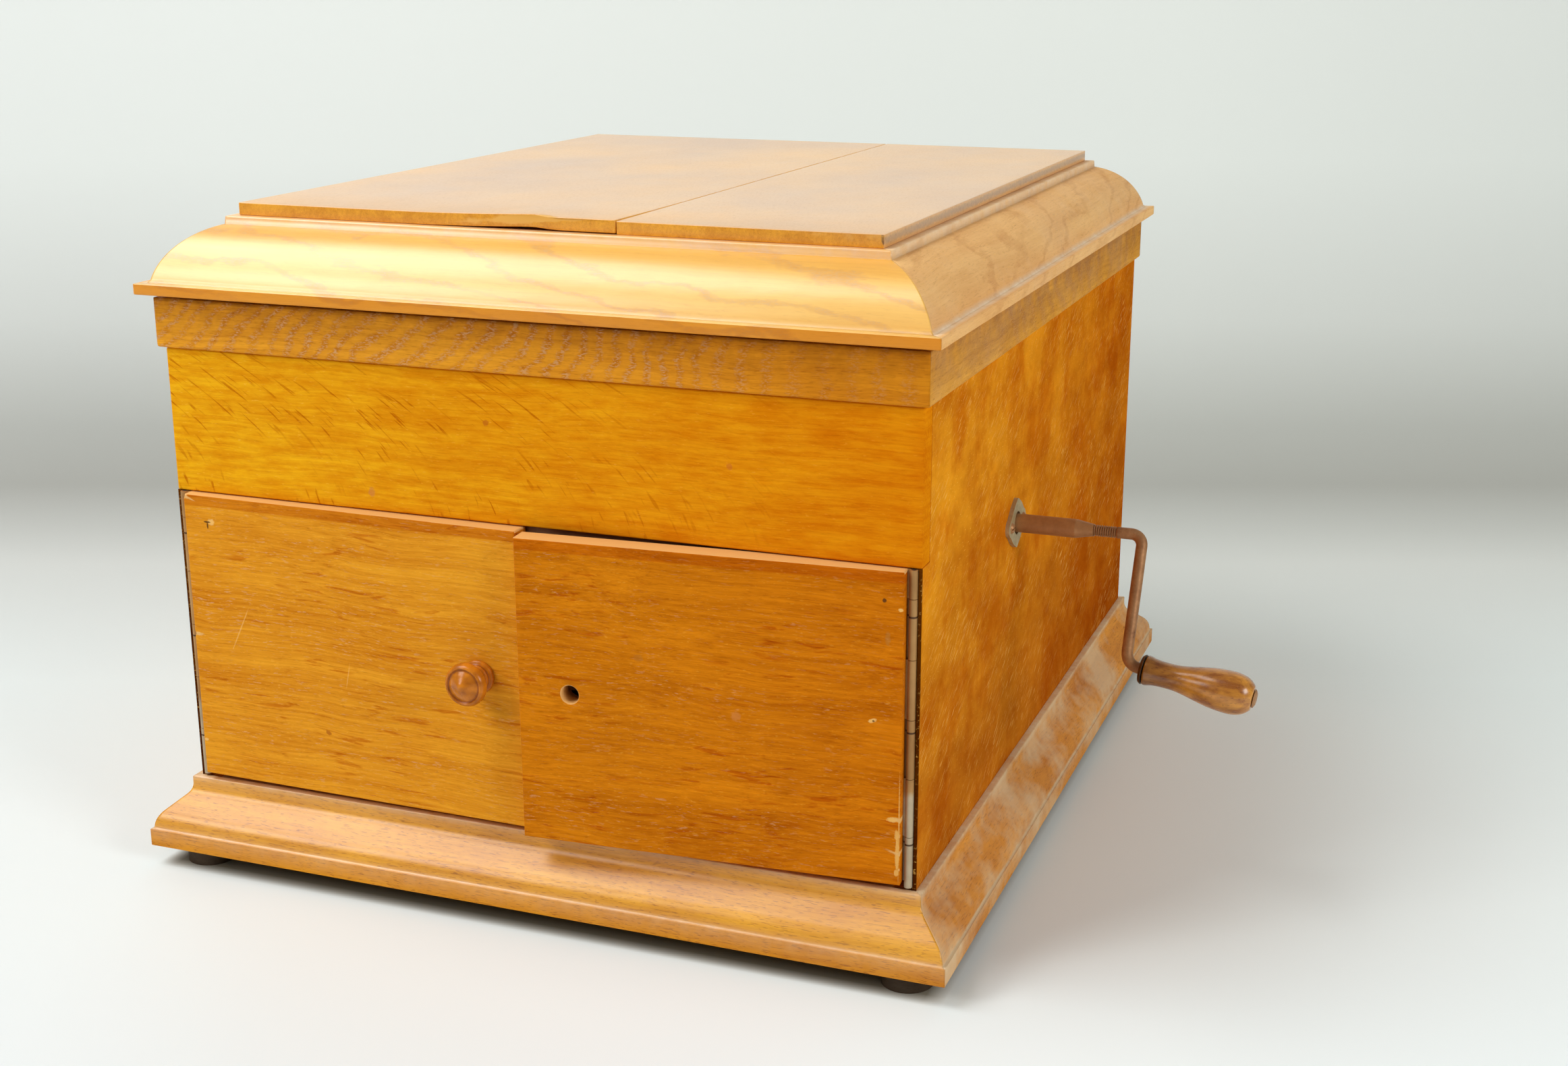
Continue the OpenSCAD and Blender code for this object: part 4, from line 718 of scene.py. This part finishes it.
def hang(word, side, ajar, finish, spans, spots, seed):
    """Sets a door on its hinge, open by an angle in degrees."""
    leaf, raw = door(*spans, spots, seed)
    leaf = swung(leaf, side, ajar)
    put("door_panel_" + word, leaf, quads(*leaf.shape[:2], True, True), finish, word + "_door_body", "oak_door",
        [word + "_door"], raw=raw)


hang("left", -1, 0.8, left_oak, (-195.6, -1.25, -24.05), [(-195.6, 196.5, 2.5, 0.5), (-195.6, 120, 1.4, 0.4)],
     51)
chipped_at = [(195.6, z, radius, 0.3) for z, radius in [(74, 1.6), (66, 1.0), (57, 1.2), (49, 1.0)]]
hang("right", 1, 3.7, right_oak, (2.25, 195.6, 29.25), chipped_at, 52)

# The left door's knob is turned from one piece: a collar, a waist and a domed face
# with a bead cut round it. Its tenon is glued into the door.
turned_oak, surface, place = new_finish("turned and polished oak")
fleck = speckle(place, (260.0, 40.0, 260.0), 4.0)
shade = blended(between(0.3, 0.75, fleck), (0.62, 0.195, 0.009), (0.34, 0.09, 0.004))
# painted shade: the knob is tinted darker in its grooves, the narrow places marked as quirks
shade = tinted(layer(place, "quirk"), shade, (0.55, 0.4, 0.22))
feed(surface, {"Base Color": shade, "Roughness": scaled(fleck, 0.2, 0.16), "Specular IOR Level": 0.15,
               "Coat Weight": 0.22, "Coat Roughness": 0.16})


def turned(name, profile, at, toward, finish, body, slot, stands_for, hollows=()):
    """A turned piece, closed at both ends: a profile of (radius, length) is turned round the line from `at`
    along `toward`. The profile is smoothed by cutting its corners four times, so that each new pair of points
    lies a quarter in from each end. Its narrow places are marked."""
    line = np.array(profile, float)
    for _ in range(4):
        near, far = 0.75 * line[:-1] + 0.25 * line[1:], 0.25 * line[:-1] + 0.75 * line[1:]
        line = np.vstack([line[:1], np.stack([near, far], 1).reshape(-1, 2), line[-1:]])
    w = unit(toward)
    u = unit(np.cross(w, [0, 0, 1.0]))
    places = at + line[:, None, :1] * circle(u, np.cross(w, u), 72) + line[:, None, 1:] * w
    marks = quirks(line, *hollows, reach=1.0) if hollows else np.zeros(len(line))
    put(name, places, capped(places, True), finish, body, slot, stands_for, quirk=marks[:, None])


knob_at, knob_tip = swung(np.array([[-24.05, DOOR_FRONT, KNOB_Z], [-24.05, DOOR_FRONT - 1, KNOB_Z]]), -1, 0.8)
turned("turned_knob", [
    (0.05, -11), (4.6, -11), (4.6, 0), (4.6, 0.0), (8.4, 0.0), (8.9, 1.2), (8.5, 2.4), (7.2, 2.8), (6.7, 3.3),
    (7.2, 3.9), (7.0, 4.8), (5.4, 5.6), (5.0, 7.0), (5.6, 8.2), (7.4, 9.4), (9.8, 10.4), (11.0, 11.9),
    (11.3, 13.6), (10.8, 15.4), (9.9, 16.5), (9.1, 16.7), (8.6, 16.0), (8.0, 15.9), (6.2, 17.0), (4.2, 17.9),
    (2.2, 19.2), (0.9, 19.6), (0.05, 19.6)],
    knob_at, knob_tip - knob_at, turned_oak, "left_door_body", "turned_wood", ["door_knob"],
    [(5.0, 7.0), (8.4, 15.9), (6.7, 3.3)])

# Each door hangs on a strip hinge along its whole outer edge. The nickel has gone dull
# and spotted with rust, and old lacquer is worn off near the floor.


def metal(name, bright, dark, scale, rust=0.3, rough=0.35, shine=1.0, strip=False):
    """Metal with cloudy tarnish and patches of rust: two noises pick between two tones and a rust brown.
    A strip hinge's knuckles meet every 56.8 mm, from 60.4 mm up."""
    made, surface, place = new_finish(name)
    cloud = between(0.3, 0.7, speckle(place, scale, 4.0, 0.6))
    fine = speckle(place, tuple(6 * s for s in scale), 3.0, 0.6)
    tone = tinted(times(fine, 0.35), blended(cloud, bright, dark), (0.2, 0.2, 0.2))
    if strip:
        height = part(place, "Z")
        worn = between(0.088, 0.092, scaled(cloud, 0.012, height))
        tone = tinted(worn, tone, (0.86, 0.57, 0.28))
        knuckle = sums("PINGPONG", sums("SUBTRACT", height, 0.0604), 0.0284)
        tone = tinted(between(0.0006, 0.0003, knuckle), tone, (0.16, 0.1, 0.06))
    spread = scaled(fine, 0.5, times(cloud, 0.6))
    patches = between(1.0 - rust * 0.75, 1.12 - rust * 0.75, spread)
    feed(surface, {
        "Base Color": blended(patches, tone, (0.16, 0.062, 0.022)),
        "Roughness": scaled(patches, 0.4, scaled(fine, 0.25, rough), clamp=True),
        "Metallic": scaled(patches, -0.75, shine, clamp=True), "Normal": dented(fine, 0.25, 0.0003)})
    return made


hinge_nickel = metal(
    "dull strip hinge", (0.72, 0.6, 0.42), (0.42, 0.29, 0.15), (30, 30, 15), 0.2, 0.42, 0.35, True)
bright_steel = metal("bright steel", (0.55, 0.54, 0.52), (0.34, 0.33, 0.31), (50, 50, 50), 0.12, 0.28)
dress(hinge_nickel, "door_hinge_case_leaves", "left_door_hinge_leaf", "right_door_hinge_leaf")
dress(bright_steel, "hinge_pins", "lid_hinge_case_leaves", "lid_hinge_lid_leaves", "lid_stay", "lid_stay_guide")

# ------------------------ crank
# The crank is a rusty steel rod with an arm and a turned handle. Its sleeve screws on
# to the winding shaft through a stamped lozenge plate on the case's right side.
rusty_steel = metal(
    "rusty crank steel", (0.5, 0.25, 0.1), (0.33, 0.14, 0.048), (160, 160, 160), 0.2, 0.42, 0.4)
plate_brass = metal(
    "worn escutcheon plate", (0.66, 0.51, 0.27), (0.42, 0.3, 0.14), (120, 120, 120), 0.1, 0.42, 0.55)
brown_steel = metal(
    "browned crank sleeve", (0.52, 0.245, 0.085), (0.34, 0.14, 0.045), (70, 70, 70), 0.05, 0.34, 0.3)
dress(brown_steel, "crank_sleeve", "escutcheon_screws")
dress(plate_brass, "crank_escutcheon")
dress(bright_steel, "winding_shaft")

DECK_Z = 232.11
crank_at = np.array([0.0, -70.0, DECK_Z - 58.4])
lean = math.radians(27.6)
droop = math.radians(8.0)
ARM_X = HALF_W + 69.5


def leaned(x, y, z):
    """A point of the crank, drawn with its arm straight down, turned to where the arm rests."""
    x, y, z = np.broadcast_arrays(*np.atleast_1d(x, y, z))
    return crank_at + np.stack([x, *spun(y, z, -lean)], -1)


def tube(path, radii):
    """A rod along a path: at each point a circle stands square to the path, on two directions carried along."""
    step = unit(np.gradient(path, axis=0))
    side = leaned(0, 1, 0)[0] - crank_at
    u = unit(side - (step @ side)[:, None] * step)
    return path[:, None] + radii[:, None, None] * circle(u, np.cross(step, u), 28)


start_x = HALF_W + 34 + 9.5
ribs = np.linspace(start_x, start_x + 12, 121)
rib_r = 2.72 + 0.32 * np.clip(1.6 * np.sin((ribs - start_x) / 12 * 10 * 2 * math.pi - 0.9), -1, 1)
bend = np.linspace(0, math.pi / 2, 16)[1:]
turn = np.linspace(math.pi, 3 * math.pi / 2 - droop, 16)
xs = np.concatenate(
    [[start_x - 9], ribs, np.linspace(start_x + 12.3, ARM_X - 6, 10), ARM_X - 6 + 6 * np.sin(bend),
     np.full(24, ARM_X), ARM_X + 8 + 8 * np.cos(turn)])
zs = np.concatenate(
    [np.zeros(len(ribs) + 11), -6 + 6 * np.cos(bend), np.linspace(-8, -60, 24), -62 + 8 * np.sin(turn)])
pin_from = np.array([xs[-1], zs[-1]])
pin_way = np.array([math.cos(droop), -math.sin(droop)])
reach = np.concatenate([np.linspace(2, 60, 14), [60.2, 60.6, 61.3]])
xs = np.concatenate([xs, pin_from[0] + reach * pin_way[0]])
zs = np.concatenate([zs, pin_from[1] + reach * pin_way[1]])
plain = len(xs) - 1 - len(ribs)
radii = np.concatenate([[2.4], rib_r, np.full(plain - 3, 3.0), [4.9, 4.6, 3.2]])
radii[-plain:] += 0.05 * ripple(np.arange(plain) * 6.0, 0.0, 61)
rod = tube(leaned(xs, 0, zs), radii)
put("crank_arm_rod", rod, capped(rod, True), rusty_steel, "crank", "crank_steel", ["crank_rod"])

pin_at = leaned(pin_from[0], 0, pin_from[1])[0]
pin_dir = leaned(pin_way[0], 0, pin_way[1])[0] - crank_at
dark_brass = metal("dark ferrule brass", (0.22, 0.15, 0.09), (0.1, 0.06, 0.035), (150, 150, 150), 0.2)
turned("handle_ferrule", [(0.05, 1.0), (6.3, 1.0), (7.0, 1.3), (7.9, 2.6), (7.7, 3.0), (0.05, 3.0)],
       pin_at, pin_dir, dark_brass, "crank", "ferrule", ["crank_ferrule"])
handle_wood, surface, place = new_finish("polished handle wood")
fleck = speckle(place, (70.0, 190.0, 190.0), 4.0, 0.65)
shade = blended(between(0.36, 0.64, fleck), (0.66, 0.28, 0.03), (0.32, 0.1, 0.01))
pricks = drawn(0.62, 0.7, place, 500.0, 1300.0, 1.0)
shade = tinted(times(pricks, 0.5), shade, (0.45, 0.35, 0.3))
GRIP_TIP_X = 0.318
grip_end = between(0.012, 0.034, sums("SUBTRACT", GRIP_TIP_X, part(place, "X")))
shade = tinted(times(grip_end, 0.75), shade, (0.3, 0.24, 0.2))
feed(surface, {"Base Color": shade, "Roughness": scaled(fleck, 0.2, 0.14), "Coat Weight": 0.4,
               "Coat Roughness": 0.2})
# the grip swells towards its end: (share of its largest radius, share of its length)
GRIP_LONG, GRIP_R, GRIP_FROM = 56.5, 11.0, 3.3
swell = [(0.68, 0.38), (0.82, 0.5), (0.94, 0.62), (1.0, 0.74), (1.0, 0.84), (0.88, 0.93), (0.62, 0.99),
         (0.5, 1.0)]
turned("grip", [(3.05, 3.3), (7.4, 3.3), (7.9, 4.2), (7.7, 5.6), (7.0, 8.0),
                (6.6, GRIP_FROM + 0.16 * GRIP_LONG), (6.6, GRIP_FROM + 0.28 * GRIP_LONG)]
       + [(r * GRIP_R, GRIP_FROM + s * GRIP_LONG) for r, s in swell] + [(3.05, GRIP_FROM + GRIP_LONG)],
       pin_at, pin_dir, handle_wood, "handle", "turned_wood", ["crank_handle"])

# ------------------------ motor
# The spring motor hangs under the motor board: a japanned iron frame, a brass barrel
# with its blued spring, steel arbors and wheels, and a governor with three weights.
japanned, surface, place = new_finish("black japanned iron")
skin = speckle(place, (260.0, 260.0, 260.0), 3.0)
feed(surface, {"Base Color": blended(between(0.4, 0.7, skin), (0.03, 0.028, 0.026), (0.075, 0.065, 0.055)),
               "Roughness": scaled(skin, 0.3, 0.3), "Normal": dented(skin, 0.4, 0.0005)})
motor_brass = metal("machined brass", (0.78, 0.55, 0.22), (0.55, 0.36, 0.13), (45, 45, 45), 0.05, 0.25)
blued = metal("blued spring", (0.1, 0.13, 0.22), (0.05, 0.06, 0.1), (45, 45, 45), 0.1, 0.3)
dress(japanned, "motor_frame", "throat_elbow")
dress(motor_brass, "spring_barrel", "governor")
dress(blued, "mainspring")
dress(bright_steel, "barrel_arbor", "intermediate_wheel", "turntable_spindle")

# ------------------------ turntable and tone arm
# The plated turntable carries a round of green felt. The nickel-plated tone arm swings
# on its base and leads the sound down into the horn.
nickel = metal("nickel plate", (0.72, 0.7, 0.66), (0.55, 0.52, 0.46), (35, 35, 35), 0.1, 0.16)
platter = metal("dull plated platter", (0.4, 0.39, 0.37), (0.26, 0.25, 0.23), (30, 30, 30), 0.25, 0.35)
deck_oak = oak(
    "motor board veneer", 0, (0.34, 0.125, 0.03), (0.13, 0.04, 0.01), shift=9.3, bands=0.6, pores=0.5,
    dust=0.08, varnish=0.5)
dress(nickel, "tone_arm_base", "tone_arm", "sound_box", "needle_cup", "brake_lever", "speed_lever")
dress(bright_steel, "needle")
dress(platter, "turntable")
dress(deck_oak, "motor_board")

felt, surface, place = new_finish("green felt")
nap = speckle(place, (900.0, 900.0, 900.0), 4.0, 0.7)
worn = between(0.35, 0.7, speckle(place, (22.0, 22.0, 22.0), 3.0))
shade = blended(worn, (0.035, 0.115, 0.055), (0.075, 0.16, 0.085))
feed(surface, {"Base Color": tinted(times(nap, 0.5), shade, (0.25, 0.3, 0.25)), "Roughness": 0.95,
               "Sheen Weight": 0.4, "Normal": dented(nap, 0.6, 0.0008)})
SPINDLE_X, SPINDLE_Y, FELT_Z = -25, -70, DECK_Z + 21
radius = np.concatenate([[4.0], np.linspace(4.0, 122.4, 40), [122.9, 123.0]])
level = np.concatenate([[0.05], np.full(40, 1.0), [0.7, 0.05]])
angle = np.linspace(0, 2 * math.pi, 160, endpoint=False)
x, y = radius[:, None] * np.cos(angle), radius[:, None] * np.sin(angle)
height = level[:, None] + np.where(level[:, None] > 0.9, 0.06 * ripple(x, y, 71, 2) - 0.06, 0)
mat = np.stack([SPINDLE_X + x, SPINDLE_Y + y, FELT_Z + height], -1)
under = mat[-1:].copy()
under[..., 2] = FELT_Z + 0.02
mat = np.concatenate([mat, under])
mat_piece = put("felt_mat", mat, quads(*mat.shape[:2], True, True), felt, "table", "felt", ["turntable_felt"])

# ------------------------ horn
# The horn is four thin boards behind the doors. It narrows to the back, where the
# iron elbow takes the sound from the tone arm.
horn_wood = oak(
    "dark stained horn board", 90, (0.16, 0.085, 0.04), (0.07, 0.035, 0.018), shift=8.8, pores=0.5, dust=0.2)
dress(horn_wood, "horn_boards")

# ------------------------ studio
# A pale sweep of paper behind and under the cabinet, large soft lights overhead, in front
# and at the right, and the camera at the photograph's place.
PICTURE_WIDE, PICTURE_HIGH, FOCAL = 2324, 1580, 2969.0
CAMERA = np.array([0.448, -1.0775, 0.4673])
pitch, yaw = math.radians(16.22), math.radians(20.49)
camera = placed("camera", bpy.data.cameras.new("camera"))
camera.data.sensor_width = 36.0
camera.data.lens = 45.99
camera.data.clip_start = 0.02
camera.location = CAMERA
camera.rotation_euler = (math.pi / 2 - pitch, 0.0, yaw)
bpy.context.scene.camera = camera

FLOOR = -11.0
ahead = np.array([-math.sin(yaw), math.cos(yaw)])
across = np.array([math.cos(yaw), math.sin(yaw)])
rise = np.radians(np.linspace(0, 90, 24))
go = np.concatenate([np.linspace(-3500, 1650, 30), 1650 + 900 * np.sin(rise[1:]), np.full(8, 2550.0)])[:, None]
up = np.concatenate([np.zeros(30), 900 * (1 - np.cos(rise[1:])), np.linspace(1000, 4000, 8)])[:, None]
wide_x = np.linspace(-5000, 5000, 41)[None]
ground = CAMERA[:2] * 1000
sweep = np.stack(np.broadcast_arrays(ground[0] + go * ahead[0] + wide_x * across[0],
                                     ground[1] + go * ahead[1] + wide_x * across[1], FLOOR + up), -1)
# depth: how far up the picture a point is seen, from 0 at its lower edge to 1 at its upper
eye = CAMERA[2] * 1000 - FLOOR - up
drop = np.arctan2(eye, np.maximum(go, 1.0))
seen = np.clip((np.tan(pitch - drop) * FOCAL + PICTURE_HIGH / 2) / PICTURE_HIGH, 0, 1)
seen = np.where(go < 200, 0, seen)
# sideways: how far across the picture, from 0 at its left edge to 1 at its right
ray = go * math.cos(pitch) + eye * math.sin(pitch)
aside = np.clip(wide_x / np.maximum(ray, 1.0) * FOCAL / PICTURE_WIDE + 0.5, 0, 1)
aside = np.where(go < 200, 0.5, aside)

paper, surface, place = new_finish("studio paper")
# The paper's colour paints its shading: by how far up the picture a point is seen, it is bright near the
# camera, has a dark band where the floor turns up into the wall, and grows lighter up the wall; it is also
# darker towards the left of the picture.
ramp = add("ValToRGB", {"Fac": layer(place, "depth")})
stops = [(0.0, (0.9, 0.96, 0.96)), (0.36, (0.88, 0.945, 0.925)), (0.47, (0.76, 0.775, 0.735)),
         (0.545, (0.46, 0.46, 0.42)), (0.6, (0.51, 0.52, 0.48)), (0.7, (0.7, 0.725, 0.685)),
         (0.85, (0.85, 0.89, 0.845)), (1.0, (0.89, 0.93, 0.885))]
while len(ramp.color_ramp.elements) < len(stops):
    ramp.color_ramp.elements.new(0.5)
for element, (at, shade) in zip(ramp.color_ramp.elements, stops):
    element.position = at
    element.color = (*shade, 1.0)
shade = tinted(between(0.75, 0.05, layer(place, "sideways")), ramp.outputs[0], (0.84, 0.84, 0.85))
# painted shadow: the paper is darkened under the cabinet's footprint
beneath = add("SeparateXYZ", {0: vector("ABSOLUTE", place)}).outputs
shadow = times(between(0.222, 0.212, beneath[0]), between(0.262, 0.252, beneath[1]))
feed(surface, {"Base Color": tinted(shadow, shade, (0.25, 0.23, 0.19)), "Roughness": 0.55,
               "Specular IOR Level": 0.25})
# seen from its back, the sweep is left out of the picture
tree = paper.node_tree
behind = times(add("NewGeometry", tree=tree).outputs["Backfacing"],
               add("LightPath", tree=tree).outputs["Is Camera Ray"])
through = add("MixShader", {0: behind, 1: tree.nodes["Principled BSDF"].outputs[0],
                            2: add("BsdfTransparent", tree=tree).outputs[0]})
feed(tree.nodes["Material Output"].inputs, {"Surface": through.outputs[0]})
faces = [face[::-1] for face in quads(*sweep.shape[:2])]
meshed("paper_sweep", sweep, faces, paper, {"depth": seen, "sideways": aside})


def soft_light(name, at, toward, size, power, colour=(1.0, 1.0, 1.0)):
    """A rectangular area light that faces a point."""
    lamp = bpy.data.lights.new(name, "AREA")
    lamp.shape = "RECTANGLE"
    lamp.size, lamp.size_y = size
    lamp.energy = power
    lamp.color = colour
    made = placed(name, lamp)
    made.location = at
    made.rotation_euler = (Vector(toward) - Vector(at)).to_track_quat("-Z", "Y").to_euler()


soft_light("overhead softbox", (-1.2, -0.65, 2.1), (-0.1, -0.1, 0.2), (1.6, 1.4), 38)
soft_light("front softbox", (-1.3, -1.75, 1.3), (0.0, -0.2, 0.12), (0.8, 0.7), 16.5, (1.0, 0.98, 0.95))
soft_light("right softbox", (2.3, -0.9, 1.2), (0.1, 0.0, 0.12), (1.0, 0.9), 27, (1.0, 0.98, 0.95))
# the world lights the object weakly and shows nearly white behind the paper
world = bpy.data.worlds.new("studio")
world.use_nodes = True
glance = add("LightPath", tree=world.node_tree).outputs["Is Camera Ray"]
feed(world.node_tree.nodes["Background"].inputs,
     {"Color": (0.95, 0.98, 1.0), "Strength": scaled(glance, 0.55, 0.22)})
bpy.context.scene.world = world
bpy.context.scene.view_settings.view_transform = "Standard"
